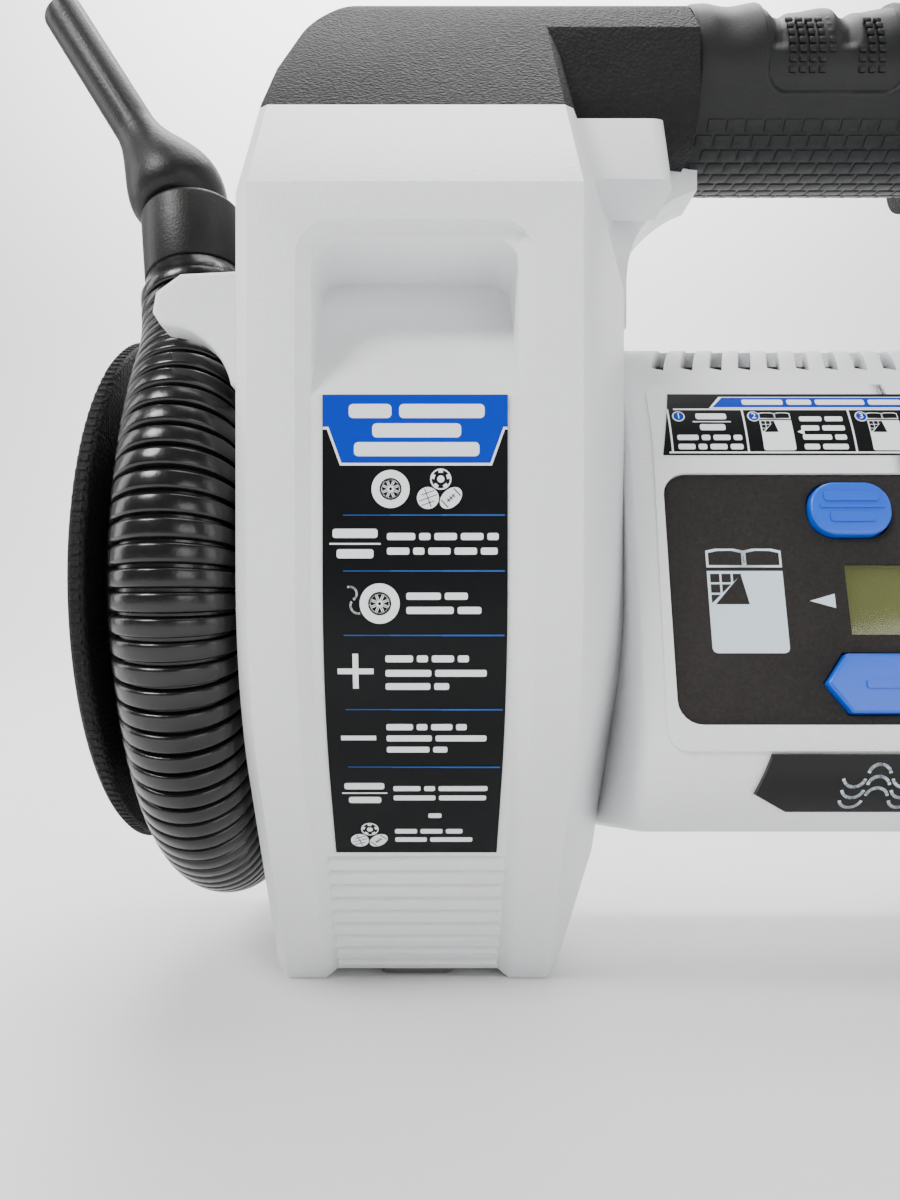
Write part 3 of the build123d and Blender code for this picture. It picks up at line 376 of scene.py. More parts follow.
class Drawing:
    """Flat artwork in millimetres that is laid on a surface. Each shape has its own ink and layer."""

    def __init__(self, surface, base=0.0, step=0.03):
        self.shape = bmesh.new()
        self.surface, self.base, self.step = surface, base, step

    def outline(self, points, ink=0, layer=1):
        """Filled outline from its corner points."""
        verts = [self.shape.verts.new((x, y, layer)) for x, y in points]
        face = self.shape.faces.new(verts)
        face.material_index = ink
        return face

    def bar(self, x, y, wide, high, ink=0, layer=1, turn=0.0, round_by=0.0):
        """Rectangle about (x, y), with its corners rounded if asked."""
        half_wide, half_high = wide / 2, high / 2
        corners = []
        if round_by:
            for corner, (sx, sy) in enumerate([(1, 1), (-1, 1), (-1, -1), (1, -1)]):
                for step in range(5):
                    angle = pi / 2 * (corner + step / 4)
                    corners.append((sx * (half_wide - round_by) + round_by * cos(angle),
                                    sy * (half_high - round_by) + round_by * sin(angle)))
        else:
            corners = [(half_wide, half_high), (-half_wide, half_high), (-half_wide, -half_high),
                       (half_wide, -half_high)]
        spun = [(x + a * cos(turn) - b * sin(turn), y + a * sin(turn) + b * cos(turn)) for a, b in corners]
        return self.outline(spun, ink, layer)

    def disc(self, x, y, radius, ink=0, layer=1, squash=1.0):
        """Filled circle, or an oval if squashed."""
        sides = max(16, int(radius * 10))
        turns = [2 * pi * side / sides for side in range(sides)]
        return self.outline([(x + radius * cos(turn), y + radius * squash * sin(turn)) for turn in turns],
                            ink, layer)

    def ring(self, x, y, outer, inner, ink=0, layer=1, start=0.0, sweep=360.0):
        """Ring or part of one."""
        sides = max(8, int(sweep / 8))
        for k in range(sides):
            a, b = (radians(start + sweep * (k + n) / sides) for n in (0, 1))
            self.outline([(x + inner * cos(a), y + inner * sin(a)), (x + outer * cos(a), y + outer * sin(a)),
                          (x + outer * cos(b), y + outer * sin(b)), (x + inner * cos(b), y + inner * sin(b))],
                         ink, layer)

    def words(self, x, y, wide, high, lengths, ink=0, layer=1):
        """A row of generic bars that stands for printed words."""
        gap = high * 0.55
        unit = (wide - gap * (len(lengths) - 1)) / sum(lengths)
        left = x - wide / 2
        for length in lengths:
            self.bar(left + unit * length / 2, y, unit * length, high, ink, layer, round_by=high * 0.3)
            left += unit * length + gap

    def number(self, text, x, y, high, ink=0, layer=1):
        """A numeral, made from a font and turned into faces."""
        font = bpy.data.curves.new("numeral", "FONT")
        font.body = text
        font.size = high * 1.35
        font.align_x = "CENTER"
        font.align_y = "CENTER"
        holder = bpy.data.objects.new("numeral", font)
        bpy.context.scene.collection.objects.link(holder)
        bpy.context.view_layer.update()
        flat = bpy.data.meshes.new_from_object(holder)
        before = set(self.shape.verts)
        known = set(self.shape.faces)
        self.shape.from_mesh(flat)
        for vert in set(self.shape.verts) - before:
            vert.co = Vector((vert.co.x + x, vert.co.y + y, layer))
        for face in set(self.shape.faces) - known:
            face.material_index = ink
        bpy.data.objects.remove(holder)
        bpy.data.curves.remove(font)
        bpy.data.meshes.remove(flat)

    def cut_across(self, point, facing):
        """Cut every face that crosses a plane, so that the artwork can bend there."""
        everything = self.shape.verts[:] + self.shape.edges[:] + self.shape.faces[:]
        bmesh.ops.bisect_plane(self.shape, geom=everything, dist=1e-5, plane_co=point, plane_no=facing)

    def lay(self, name, inks, thick=0.06, fine=2.0, body="housing", cross=0.0):
        """Cut the artwork into short bands, give it thickness and lay it on its surface."""
        shape = self.shape
        low = min(vert.co.y for vert in shape.verts)
        high = max(vert.co.y for vert in shape.verts)
        cut = low + fine
        while cut < high:
            self.cut_across((0, cut, 0), (0, 1, 0))
            cut += fine
        cut = min(vert.co.x for vert in shape.verts) + cross
        right = max(vert.co.x for vert in shape.verts)
        while cross and cut < right:
            self.cut_across((cut, 0, 0), (1, 0, 0))
            cut += cross
        for face in shape.faces:
            if face.normal.z < 0:
                face.normal_flip()
        shape.normal_update()
        lifted = bmesh.ops.extrude_face_region(shape, geom=shape.faces[:])
        for item in lifted["geom"]:
            if isinstance(item, bmesh.types.BMVert):
                item.co.z += 0.5
        for vert in shape.verts:
            layer = int(vert.co.z)
            height = self.base + layer * self.step + (thick if vert.co.z > layer + 0.25 else -0.05)
            vert.co = self.surface(vert.co.x, vert.co.y, height)
        return keep(shape, name, inks, body)


print("helpers ready")

# %% [markdown]
# ## Camera, light and floor
# The camera stands close in front of the left tower, at the height of the panel, and looks straight
# back, so that near parts look much larger than far ones. The shift only frames the object. The
# room is bright. Soft boxes stand high and low in front, above, at each side and behind, and one
# more lights the backdrop, which is the floor curving up into a wall.

# %% Camera, light and floor
camera_data = bpy.data.cameras.new("camera")
camera_data.lens = 26.1
camera_data.shift_x = 0.0208
camera_data.shift_y = 0.0333
camera_data.clip_start = 0.01
camera = bpy.data.objects.new("camera", camera_data)
camera.location = (-0.10315, -0.240, 0.084)
camera.rotation_euler = (radians(90), 0, 0)
bpy.context.scene.collection.objects.link(camera)
bpy.context.scene.camera = camera


def soft_box(name, place, aim, size, power):
    """Broad rectangular light that points at a spot."""
    data = bpy.data.lights.new(name, "AREA")
    data.shape = "RECTANGLE"
    data.size, data.size_y = size
    data.energy = power
    made = bpy.data.objects.new(name, data)
    made.location = place
    made.rotation_euler = (Vector(aim) - Vector(place)).to_track_quat("-Z", "Y").to_euler()
    bpy.context.scene.collection.objects.link(made)


soft_box("front box", (-0.9, -0.75, 1.15), (-0.08, 0, 0.12), (0.45, 0.4), 21)
soft_box("low front box", (0.6, -1.2, 0.4), (0, 0, 0.12), (0.7, 0.5), 5)
soft_box("top box", (0.05, 0.0, 1.3), (0, 0, 0.1), (0.9, 0.6), 9)
soft_box("left box", (-1.2, 0.1, 0.5), (-0.1, 0, 0.12), (0.4, 0.9), 5)
soft_box("right box", (1.2, -0.3, 0.5), (0.1, 0, 0.12), (0.5, 0.9), 4)
soft_box("rear box", (0.3, 1.3, 0.8), (0, 0, 0.12), (0.9, 0.7), 4.5)
soft_box("wall box", (0.0, 1.4, 3.0), (0, 3.4, 0.8), (3.0, 1.0), 230)

world = bpy.data.worlds.new("bright room")
world.use_nodes = True
world.node_tree.nodes["Background"].inputs["Color"].default_value = (1.0, 0.985, 0.965, 1)
world.node_tree.nodes["Background"].inputs["Strength"].default_value = 0.26
bpy.context.scene.world = world

table_top = finish_like("pale table", (0.86, 0.86, 0.86), (0.82, 0.82, 0.82), 0.55, 300, 0.05, 0.2, 0.02)
flat_to = 1.6
sweep_radius = 1.2
under_feet = 0.0002
floor_shape = bmesh.new()
bmesh.ops.create_grid(floor_shape, x_segments=4, y_segments=100, size=6.0)
for vert in floor_shape.verts:
    past = max(vert.co.y - flat_to, 0.0)
    turn = min(past / sweep_radius, pi / 2)
    rest = past - turn * sweep_radius
    back = min(vert.co.y, flat_to) + sweep_radius * sin(turn)
    vert.co = Vector((vert.co.x, back, sweep_radius * (1 - cos(turn)) + rest - under_feet))
floor_mesh = bpy.data.meshes.new("floor")
floor_shape.to_mesh(floor_mesh)
floor_shape.free()
floor_mesh.materials.append(table_top)
floor_mesh.shade_smooth()
floor = bpy.data.objects.new("floor", floor_mesh)
bpy.context.scene.collection.objects.link(floor)
print("camera at", tuple(camera.location))

# %% [markdown]
# ## The blower hose
# The hose leaves its collar near the top of the hub, goes once round it and climbs past the hook to
# its cuff. Its line is a smooth spline through a few route points. The wall is corrugated, so a
# grid is wrapped round the line and its radius goes out to a flat crest and in to a narrow groove
# every four millimetres.


# %% Hose route
def loop_point(angle, radius=hose_radius):
    """Point of the hose loop, from 0 at the front through 90 at the top."""
    return (hose_x, -radius * cos(radians(angle)), axis_z + radius * sin(radians(angle)))


route = [loop_point(120)]
for angle in range(130, 400, 20):
    route.append(loop_point(angle, hose_radius / cos(radians(10))))
leave = loop_point(400)
route.append((hose_x - 0.6, leave[1] + 9 * sin(radians(400)), leave[2] + 9 * cos(radians(400))))
route.append((hose_x - 1.8, leave[1] + 10.6, leave[2] + 16.8))
route.append((hose_x - 3.0, leave[1] + 12.5, leave[2] + 26.6))

line_data = bpy.data.curves.new("hose line", "CURVE")
line_data.dimensions = "3D"
line_data.resolution_u = 24
spline = line_data.splines.new("NURBS")
spline.points.add(len(route) - 1)
for point, (x, y, z) in zip(spline.points, route):
    point.co = (x * MM, y * MM, z * MM, 1)
spline.order_u = 3
spline.use_endpoint_u = True
line_object = bpy.data.objects.new("hose line", line_data)
bpy.context.scene.collection.objects.link(line_object)
bpy.context.view_layer.update()
line_mesh = bpy.data.meshes.new_from_object(line_object)
hose_line = [vert.co.copy() for vert in line_mesh.vertices]
bpy.data.objects.remove(line_object)

steps = [0.0]
for before, after in zip(hose_line, hose_line[1:]):
    steps.append(steps[-1] + (after - before).length)
hose_length = steps[-1]


def along_hose(distance):
    """Point and direction at a distance along the hose line, in metres."""
    place = 0
    while place < len(steps) - 2 and steps[place + 1] < distance:
        place += 1
    run = hose_line[place + 1] - hose_line[place]
    part = (distance - steps[place]) / (steps[place + 1] - steps[place])
    return hose_line[place] + run * part, run.normalized()


print("hose length", round(hose_length * 1000, 1), "mm")

# %% Corrugated wall
ring_pitch = 4.0
crest = hose_diameter / 2
groove = crest - 1.5
profile = [(0.0, groove), (0.45, groove), (0.62, crest - 0.5), (0.85, crest - 0.12), (1.2, crest),
           (2.2, crest), (3.2, crest), (3.55, crest - 0.12), (3.8, crest - 0.5)]
ring_count = int(hose_length / MM / ring_pitch)
stations = []
for ring in range(ring_count):
    for offset, radius in profile:
        stations.append((ring * ring_pitch + offset, radius))
stations.append((hose_length / MM, groove))

frames = []
side = Vector((1, 0, 0))
for distance, radius in stations:
    centre, ahead = along_hose(min(distance * MM, hose_length * 0.99999))
    side = (side - ahead * side.dot(ahead)).normalized()
    frames.append((centre, side.copy(), ahead.cross(side), radius * MM))


def hose_wall(around, along):
    """Point of the hose wall, round its section and along its length."""
    centre, right, up, radius = frames[round(along * (len(frames) - 1))]
    return centre + (right * cos(2 * pi * around) + up * sin(2 * pi * around)) * radius


wall_shape = sheet_of(len(frames) - 1, 48, hose_wall)
bmesh.ops.remove_doubles(wall_shape, verts=wall_shape.verts, dist=1e-6)
bmesh.ops.holes_fill(wall_shape, edges=[edge for edge in wall_shape.edges if edge.is_boundary])
hose = keep(wall_shape, "corrugated hose", hose_black, crease=60, scale=1.0)
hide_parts("high_volume_hose")
print(ring_count, "rings", len(hose.data.polygons), "faces")

# %% [markdown]
# ## Shells
# The moulded shells are copies of the frame's solids with their edges eased, since no moulding has
# a knife edge. Wide ones get more, the small trim less.

# %% Shells
for node in ("left_tower_front", "left_tower_rear", "right_tower_front", "right_tower_rear"):
    eased(node, white, 0.45)
for node in ("body_front_shell", "body_rear_shell", "hose_hook"):
    eased(node, white, 0.35)
for node in ("left_handle_shell", "right_handle_shell", "hose_hub", "outlet_duct", "hose_collar",
             "intake_grille", "battery_dock"):
    eased(node, black, 0.35)
for node in ("battery_base", "battery_cover"):
    eased(node, black, 0.4, body="battery")
eased("battery_latch", blue, 0.5, body="latch")
cuff = eased("hose_cuff", satin, 0.4)
eased("rubber_feet", foot, 0.4)
eased("control_bezel", panel_skin, 0.25)
print("shells eased")

# %% [markdown]
# ## Inner parts and small hardware
# The frame's own solids stay as they are for the pump, the blower, the cells and the screws. They
# only need their finish.

# %% Finishes for the frame's own solids
plain_nodes = {
    steel: ("case_screws", "hub_screws", "crank_bearing", "motor_pinion", "pump_motor", "blower_motor"),
    brass: ("outlet_fitting", "dock_terminals"),
    cast: ("pump_frame", "pump_cylinder", "cylinder_head", "connecting_rod", "handle_core"),
    gear_white: ("crank_gear", "blower_impeller", "wobble_piston"),
    silicone: ("air_tube",),
    sleeve: ("battery_cells",),
    board_green: ("control_board", "pressure_sensor", "button_switches"),
    display: ("lcd_module",),
    window: ("lcd_window",),
    film: ("tower_label",),
    gloss: ("nameplate",),
    black: ("blower_plate",),
}
for finish, names in plain_nodes.items():
    for name in names:
        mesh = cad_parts[name].data
        mesh.materials.clear()
        mesh.materials.append(finish)
print("inner parts finished")

# %% [markdown]
# ## Flange of the hose hub
# The flange that keeps the hose on its hub has a fine knurl round its rim. The disc is the frame's,
# and the knurl is a ring of small ridges.

# %% Hub flange
flange = eased("hub_flange", black, 0.2)
knurl = bmesh.new()
ridge_count = 180
ridge_size = (2.2, 1.1, 0.7)
for ridge in range(ridge_count):
    turn = Matrix.Rotation(2 * pi * ridge / ridge_count, 4, "X")
    place = Matrix.Translation((flange_x, 0, axis_z)) @ turn @ Matrix.Translation((0, 0, flange_rim))
    block(knurl, ridge_size, place, 0.25, 1)
keep(knurl, "flange knurl", black)

# %% [markdown]
# ## Nozzle
# The nozzle swells above its spigot, narrows to a slim tube and ends in a slanted mouth.

# %% Nozzle
nozzle = eased("nozzle", satin, 0.3, body="nozzle_body", corner=35)

# %% [markdown]
# ## Rubber grip
# The grip is a sleeve round the handle. A shallow saddle is sunk into its top and flanks, with
# three slanted grooves for the fingers and square pips on the flanks. Gentle waves run along the
# top, and rows of small bricks cover the underside.

# %% Grip sleeve
grip_half = 35.6


def ease_in(value):
    """Smooth step from 0 to 1."""
    value = min(max(value, 0.0), 1.0)
    return value * value * (3 - 2 * value)


def grip_wall(around, along):
    """Point of the grip sleeve, with its palm saddle, slanted grooves and waves."""
    turn = 2 * pi * around
    across = -grip_half + 2 * grip_half * along
    bent = (turn - pi / 2 + pi) % (2 * pi) - pi
    wide = max(abs(across) - 12.3, 0.0)
    tall = max(abs(bent) * grip_radius - 39.5, 0.0)
    inside = 6.0 - sqrt(wide * wide + tall * tall)
    saddle = ease_in(inside / 1.3)
    height = -1.3 * saddle
    slant = across - 1.5 - 3.6 * cos(bent * 0.9)
    for groove in (-17.0, 0.0, 17.0):
        height -= 1.5 * saddle * ease_in(1.15 - abs(slant - groove) / 3.4) * ease_in((cos(bent) - 0.02) / 0.2)
    end = grip_half - abs(across)
    height += 0.5 * ease_in((cos(bent) + 0.1) / 0.5) * cos(2 * pi * across / 17) * ease_in(end / 6)
    height -= 0.5 * (1 - ease_in(end / 0.8))
    return on_grip(across, turn, height)


sleeve_shape = sheet_of(170, 300, grip_wall)
bmesh.ops.remove_doubles(sleeve_shape, verts=sleeve_shape.verts, dist=1e-4)
bmesh.ops.holes_fill(sleeve_shape, edges=[edge for edge in sleeve_shape.edges if edge.is_boundary])
grip = keep(sleeve_shape, "grip sleeve", rubber)
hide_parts("rubber_grip")

# %% Grip pips and bricks
bricks = bmesh.new()
brick_size = (4.35, 1.1, 3.15)
brick_pitch = 4.9
brick_turn = radians(9.4)
pip_size = (1.8, 0.9, 1.8)
pip_pitch = 2.5


def stud(across, turn, height, size, ease):
    """Set one eased block on the grip, square to its surface."""
    place = Matrix.Translation(on_grip(across, turn, height)) @ Matrix.Rotation(-turn, 4, "X")
    block(bricks, size, place, ease, 2)


for row in range(11):
    shift = brick_pitch / 2 if row % 2 else 0.0
    for column in range(-7, 7):
        across = column * brick_pitch + shift
        if abs(across) <= grip_half - 3.4:
            stud(across, radians(-43) - row * brick_turn, -0.25, brick_size, 0.4)
for row in range(7):
    for column in range(-4, 6):
        across = column * pip_pitch - 1.5
        turn = radians(-10 + row * 6.6)
        clear_of = abs(across - 1.5 - 3.6 * cos((turn - pi / 2) * 0.9))
        if clear_of < 3.6 or abs(across) > 14:
            continue
        for facing in (turn, pi - turn):
            stud(across, facing, -1.3, pip_size, 0.35)
keep(bricks, "grip bricks", rubber)
print("grip made")

# %% [markdown]
# ## Raised surround of the panel
# A thin raised frame runs round the strip label and the control panel. It is a band that follows
# the front of the body, with a rounded outline and an opening for the panel.

# %% Panel surround
surround = Drawing(on_front)
surround_high = 0.55


def frame_edge(wide, low, high, turn_by, upper):
    """Half outline of the surround as points, from the bottom up."""
    points = []
    for step in range(7):
        angle = pi / 2 * step / 6
        points.append((wide - turn_by + turn_by * sin(angle), low + turn_by - turn_by * cos(angle)))
    for step in range(7):
        angle = pi / 2 * step / 6
        points.append((wide - upper - turn_by + turn_by * cos(angle), high - turn_by + turn_by * sin(angle)))
    return points


right_side = frame_edge(55.0, -32.6, 52.4, 4.0, 1.0)
hole_side = frame_edge(52.65, -27.4, 27.4, 5.0, 0.0)
for sign in (1, -1):
    outside = [(sign * x, y) for x, y in right_side]
    inside = [(sign * x, y) for x, y in hole_side]
    loop = [(0, outside[0][1])] + outside + [(0, outside[-1][1])] + [(0, inside[-1][1])] + inside[::-1]
    surround.outline(loop + [(0, inside[0][1])], 0, 1)
surround.base = -0.03
surround.lay("panel surround", white, thick=surround_high, cross=4.0)

# %% [markdown]
# ## Strip label
# The label above the panel is a black film with a white edge, a slanted blue header, four numbered
# steps and small pictures of an airbed.

# %% Strip label
strip = Drawing(on_front, base=0.6, step=0.05)


def airbed(drawing, x, y, wide, light, dark, layer):
    """Picture of an airbed: two pillows, a sheet, and a quilt corner folded back over its check."""
    unit = wide / 16.0

    def at(a, b):
        return (x + a * unit, y + b * unit)

    drawing.outline([at(8, 6.4), at(-8, 6.4), at(-8, -10.4), at(-7.7, -11.1), at(-7.0, -11.4), at(7.0, -11.4),
                     at(7.7, -11.1), at(8, -10.4)], light, layer)
    drawing.bar(*at(0, 6.75), 16.0 * unit, 0.35 * unit, dark, layer + 1)
    for sign in (-1, 1):
        for grow, ink, up in ((0.0, light, 0), (0.5, dark, 1)):
            low, high, near, far = 7.2 + grow, 10.9 - grow, 0.0 + grow, 8.0 - grow
            drawing.outline([at(sign * near, low), at(sign * near, high), at(sign * (near + 2), high + 0.45),
                             at(sign * (far - 2), high + 0.45), at(sign * far, high), at(sign * far, low)],
                            ink, layer + up)
    for row in range(3):
        for column in range(3 - row):
            left, low = -7.4 + column * 2.4, 3.9 - row * 2.3
            corner = [at(left, low), at(left, low + 1.85), at(left + 1.95, low + 1.85)]
            if column < 2 - row:
                corner.append(at(left + 1.95, low))
            drawing.outline(corner, dark, layer + 1)
    drawing.outline([at(-6.6, -0.9), at(-0.9, 5.6), at(0.5, -0.9)], dark, layer + 1)


strip.outline([(-52.2, 31.6), (52.2, 31.6), (49.2, 48.6), (-49.2, 48.6)], 0, 1)
strip.outline([(-40.6, 44.0), (40.6, 44.0), (37.9, 47.6), (-37.9, 47.6)], 1, 2)
strip.outline([(-39.8, 44.3), (39.8, 44.3), (37.2, 47.3), (-37.2, 47.3)], 2, 3)
strip.words(0, 45.8, 66, 1.6, [5, 3, 6, 4, 7, 3, 5], 1, 4)
for low, high in ((32.0, 32.4), (43.5, 43.9)):
    strip.bar(0, (low + high) / 2, 101.5 - (low - 32) * 0.36, high - low, 1, 2)
for across in (-50.0, -33.4, -9.8, 13.8, 33.4, 50.0):
    strip.bar(across, 37.95, 0.4, 11.6, 1, 2)
for number, across in enumerate((-47.8, -31.1, -7.2, 16.2)):
    strip.disc(across, 41.6, 1.4, 1, 3)
    strip.disc(across, 41.6, 1.15, 2, 4)
    strip.number(str(number + 1), across, 41.6, 1.6, 1, 5)
strip.words(-40.6, 41.6, 6.8, 1.6, [1], 1, 3)
strip.bar(-40.6, 40.1, 8.4, 0.22, 1, 3)
strip.words(-40.6, 38.6, 5.6, 1.6, [1], 1, 3)
for up, lengths in ((35.9, [5, 2, 4, 2]), (33.6, [4, 2, 4, 3])):
    strip.words(-41.6, up, 14.2, 1.3, lengths, 1, 3)
for bed_across, words_across, lines in ((-26.5, -16.3, 9.6), (-2.6, 7.6, 9.6)):
    airbed(strip, bed_across, 37.7, 7.0, 1, 0, 3)
    strip.outline([(bed_across + 4.4, 37.4), (bed_across + 5.9, 38.2), (bed_across + 5.9, 36.6)], 1, 3)
    for up, lengths in ((40.9, [5, 4]), (38.4, [4, 5]), (36.0, [5, 2]), (33.6, [3, 5])):
        strip.words(words_across, up, lines, 1.3, lengths, 1, 3)
for across, wide in ((25.4, 12.0), (41.8, 12.6)):
    for up, lengths in ((40.9, [5, 3]), (38.4, [3, 5]), (36.0, [4, 4]), (33.6, [5, 2])):
        strip.words(across, up, wide, 1.3, lengths, 1, 3)
strip_piece = strip.lay("strip label art", [ink_black, ink_white, ink_blue, ink_grey])
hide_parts("strip_label")

# %% [markdown]
# ## Tower label
# The long label runs down the channel of the tower. A blue header with a white edge stands over
# rows of pictures: tyres, balls, a hose, a plus and a minus, with thin fading lines between them.

# %% Tower label
tag = Drawing(on_tower, base=0.4, step=0.04)
tag.outline([(-17.7, 130.7), (-17.7, 124.3), (-16.9, 124.3), (-14.4, 117.4), (14.7, 117.4), (17.2, 124.3),
             (17.7, 124.3), (17.7, 130.7)], 1, 1)
tag.outline([(-17.7, 130.95), (-17.7, 124.8), (-16.6, 124.8), (-14.1, 117.9), (14.4, 117.9), (16.9, 124.8),
             (17.7, 124.8), (17.7, 130.95)], 2, 2)
for row, wide, lengths in ((127.8, 26.0, [4, 8]), (124.1, 17.0, [9]), (120.5, 24.0, [12])):
    tag.words(0.3, row, wide, 2.7, lengths, 1, 3)


def tyre(drawing, x, y, radius, ink, dark, layer):
    """Small picture of a tyre: a broad ring round a wheel with twin spokes and a hub."""
    drawing.disc(x, y, radius, ink, layer)
    drawing.disc(x, y, radius * 0.58, dark, layer + 1)
    drawing.ring(x, y, radius * 0.5, radius * 0.45, ink, layer + 2)
    for spoke in range(8):
        angle = 2 * pi * (spoke + 0.5) / 8
        for offset in (-0.04, 0.04):
            drawing.bar(x + radius * (0.3 * cos(angle) - offset * sin(angle)),
                        y + radius * (0.3 * sin(angle) + offset * cos(angle)),
                        radius * 0.34, radius * 0.04, ink, layer + 2, turn=angle)
    drawing.disc(x, y, radius * 0.15, ink, layer + 3)
    drawing.disc(x, y, radius * 0.08, dark, layer + 4)


def balls(drawing, x, y, radius, ink, dark, layer):
    """Small picture of three balls: a panelled one on top, a round and an oval one below."""
    top_y, low_y = y + 0.92 * radius, y - 0.85 * radius
    drawing.disc(x + 0.2 * radius, top_y, radius, ink, layer)
    drawing.disc(x + 0.2 * radius, top_y, radius * 0.86, dark, layer + 1)
    drawing.disc(x + 0.2 * radius, top_y, radius * 0.34, ink, layer + 2)
    for panel in range(5):
        angle = pi / 2 + 2 * pi * panel / 5
        drawing.bar(x + 0.2 * radius + radius * 0.72 * cos(angle), top_y + radius * 0.72 * sin(angle),
                    radius * 0.26, radius * 0.42, ink, layer + 2, turn=angle)
    drawing.disc(x - 1.0 * radius, low_y, radius * 1.03, ink, layer + 3)
    for seam in (-0.35, 0.0, 0.35):
        drawing.bar(x - 1.0 * radius, low_y + seam * radius * 1.4, radius * (1.8 - abs(seam) * 1.4),
                    radius * 0.07, dark, layer + 4, turn=0.35)
    drawing.bar(x - 1.0 * radius, low_y, radius * 0.07, radius * 1.8, dark, layer + 5, turn=0.35)
    oval = [(1.2 * radius * cos(2 * pi * k / 24), 0.82 * radius * sin(2 * pi * k / 24)) for k in range(24)]
    lean = 0.75
    drawing.outline([(x + 1.15 * radius + a * cos(lean) - b * sin(lean),
                      low_y + a * sin(lean) + b * cos(lean)) for a, b in oval], ink, layer + 3)
    drawing.bar(x + 1.15 * radius, low_y, radius * 1.0, radius * 0.08, dark, layer + 4, turn=lean)
    for stitch in (-0.3, 0.0, 0.3):
        drawing.bar(x + 1.15 * radius + stitch * radius * cos(lean), low_y + stitch * radius * sin(lean),
                    radius * 0.08, radius * 0.4, dark, layer + 5, turn=lean)
    for tip in (-0.8, 0.8):
        drawing.bar(x + 1.15 * radius + tip * radius * cos(lean), low_y + tip * radius * sin(lean),
                    radius * 0.1, radius * 0.95, dark, layer + 4, turn=lean)


def two_words(drawing, x, upper, bar, lower, wide):
    """Two short words above and below a line."""
    drawing.words(x, upper, wide * 0.88, 1.75, [1], 1, 1)
    drawing.bar(x, bar, wide, 0.32, 1, 1)
    drawing.words(x, lower, wide * 0.72, 1.75, [1], 1, 1)


def lines_of(drawing, left, rows):
    """Lines of words that start at the same left edge, given as (height, width, word lengths)."""
    for row, wide, lengths in rows:
        drawing.words(left + wide / 2, row, wide, 1.35, lengths, 1, 1)


tyre(tag, -4.7, 112.9, 3.65, 1, 0, 1)
balls(tag, 4.5, 112.9, 2.05, 1, 0, 1)
for row in (107.9, 97.2, 84.9, 69.8, 56.2):
    for part, wide in enumerate((31.0, 22.0, 12.0)):
        tag.bar(17.2 - wide / 2, row, wide, 0.16 + 0.08 * part, 3, 1 + part)
two_words(tag, -11.5, 104.4, 102.4, 100.5, 9.8)
lines_of(tag, -5.4, ((103.8, 21.4, [5, 2, 4, 4, 2]), (101.0, 21.2, [4, 2, 4, 4, 3])))
tyre(tag, -6.8, 91.0, 3.85, 1, 0, 3)
tag.ring(-12.5, 92.9, 1.5, 1.1, 1, 1, -60, 170)
tag.ring(-10.9, 90.6, 1.7, 1.3, 1, 1, 150, 130)
lines_of(tag, -1.7, ((92.4, 11.8, [6, 4]), (89.7, 14.4, [8, 4])))
tag.bar(-11.6, 77.8, 7.0, 1.1, 1, 1)
tag.bar(-11.6, 77.8, 1.1, 7.0, 1, 2)
lines_of(tag, -5.8, ((80.3, 16.2, [5, 2, 4, 2]), (77.4, 19.7, [8, 9]), (74.7, 12.4, [9, 3])))
tag.bar(-11.4, 63.4, 7.0, 1.0, 1, 1)
lines_of(tag, -5.8, ((65.9, 16.0, [5, 2, 4, 2]), (63.3, 20.0, [8, 9]), (60.6, 12.2, [9, 3])))
two_words(tag, -10.7, 50.9, 48.9, 46.9, 9.4)
lines_of(tag, -4.7, ((50.2, 19.6, [5, 2, 9]), (47.5, 19.4, [8, 9])))
tag.words(4.0, 42.2, 2.8, 1.3, [1], 1, 1)
balls(tag, -10.4, 36.3, 1.9, 1, 0, 1)
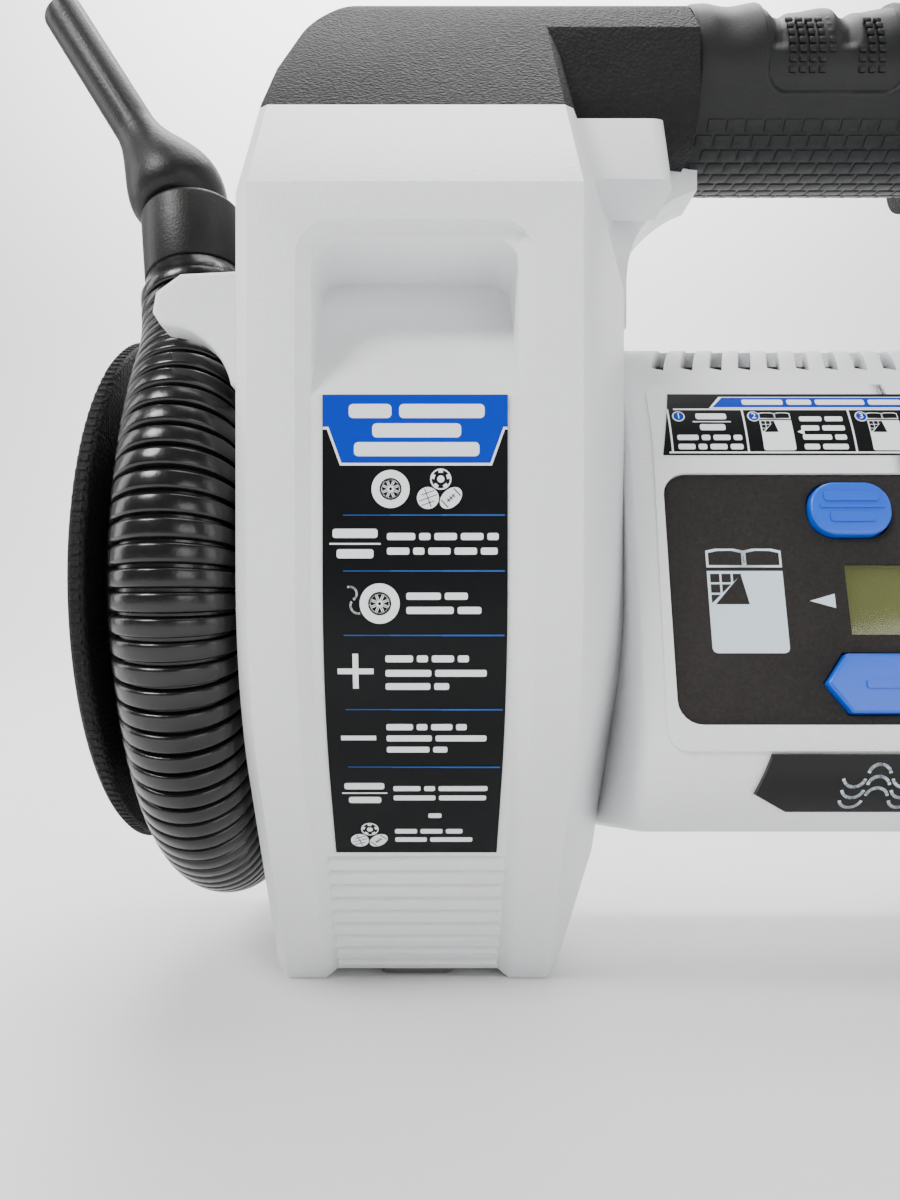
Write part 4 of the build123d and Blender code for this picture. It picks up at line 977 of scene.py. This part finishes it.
lines_of(tag, -4.6, ((37.4, 14.6, [4, 4, 3]), (34.8, 16.8, [6, 8])))
tag.lay("tower label art", [ink_black, ink_white, ink_blue, ink_line])
print("labels made")

# %% [markdown]
# ## Panel pictures
# On the left of the panel an airbed with two pillows, a check and a turned-back corner, and an
# arrow towards it. On the right the tyre and its own arrow.

# %% Panel pictures
art = Drawing(on_front, base=0.0, step=0.04)
airbed(art, -36.5, -1.05, 16.0, 0, 1, 1)
for side_x in (-1, 1):
    art.outline([(side_x * 23.3, -1.2), (side_x * 18.0, 0.35), (side_x * 18.0, -2.75)], 0, 1)
tyre(art, 36.0, -1.0, 9.4, 0, 1, 1)
art.lay("panel pictures", [ink_grey, panel_skin])

# %% [markdown]
# ## Buttons
# Each button is the frame's solid with a softer edge, and its mark stands a little proud of it.

# %% Buttons
for name in ("power_mode_button", "start_stop_button", "minus_button", "plus_button"):
    eased(name, blue, 0.3, body=name)
    side_x = -1 if name in ("power_mode_button", "minus_button") else 1
    mark = Drawing(on_front, base=1.6, step=0.02)
    if name in ("power_mode_button", "start_stop_button"):
        mark.words(side_x * 13.0, 21.7, 11.6, 2.2, [1], 0, 1)
        mark.bar(side_x * 13.0, 19.35, 13.6, 0.6, 0, 1)
        mark.words(side_x * 13.0, 17.0, 9.6, 2.2, [1], 0, 1)
    else:
        mark.bar(side_x * 10.2, -19.2, 8.0, 1.7, 0, 1, round_by=0.4)
    if name == "plus_button":
        mark.bar(side_x * 10.2, -19.2, 1.7, 8.0, 0, 2, round_by=0.4)
    mark.lay(name + " mark", blue, thick=0.28, body=name)

# %% [markdown]
# ## Nameplate
# The plate under the panel carries a plain air-wave mark in place of any name.

# %% Nameplate art
wave = Drawing(on_front, base=1.2, step=0.03)
for line in range(3):
    for part in range(8):
        across = -17.5 + part * 5.0
        up = -37.3 - line * 2.4
        wave.ring(across, up, 2.6, 2.0, 0, 1, 15 if part % 2 else 195, 150)
wave.lay("nameplate waves", ink_grey, fine=1.5)
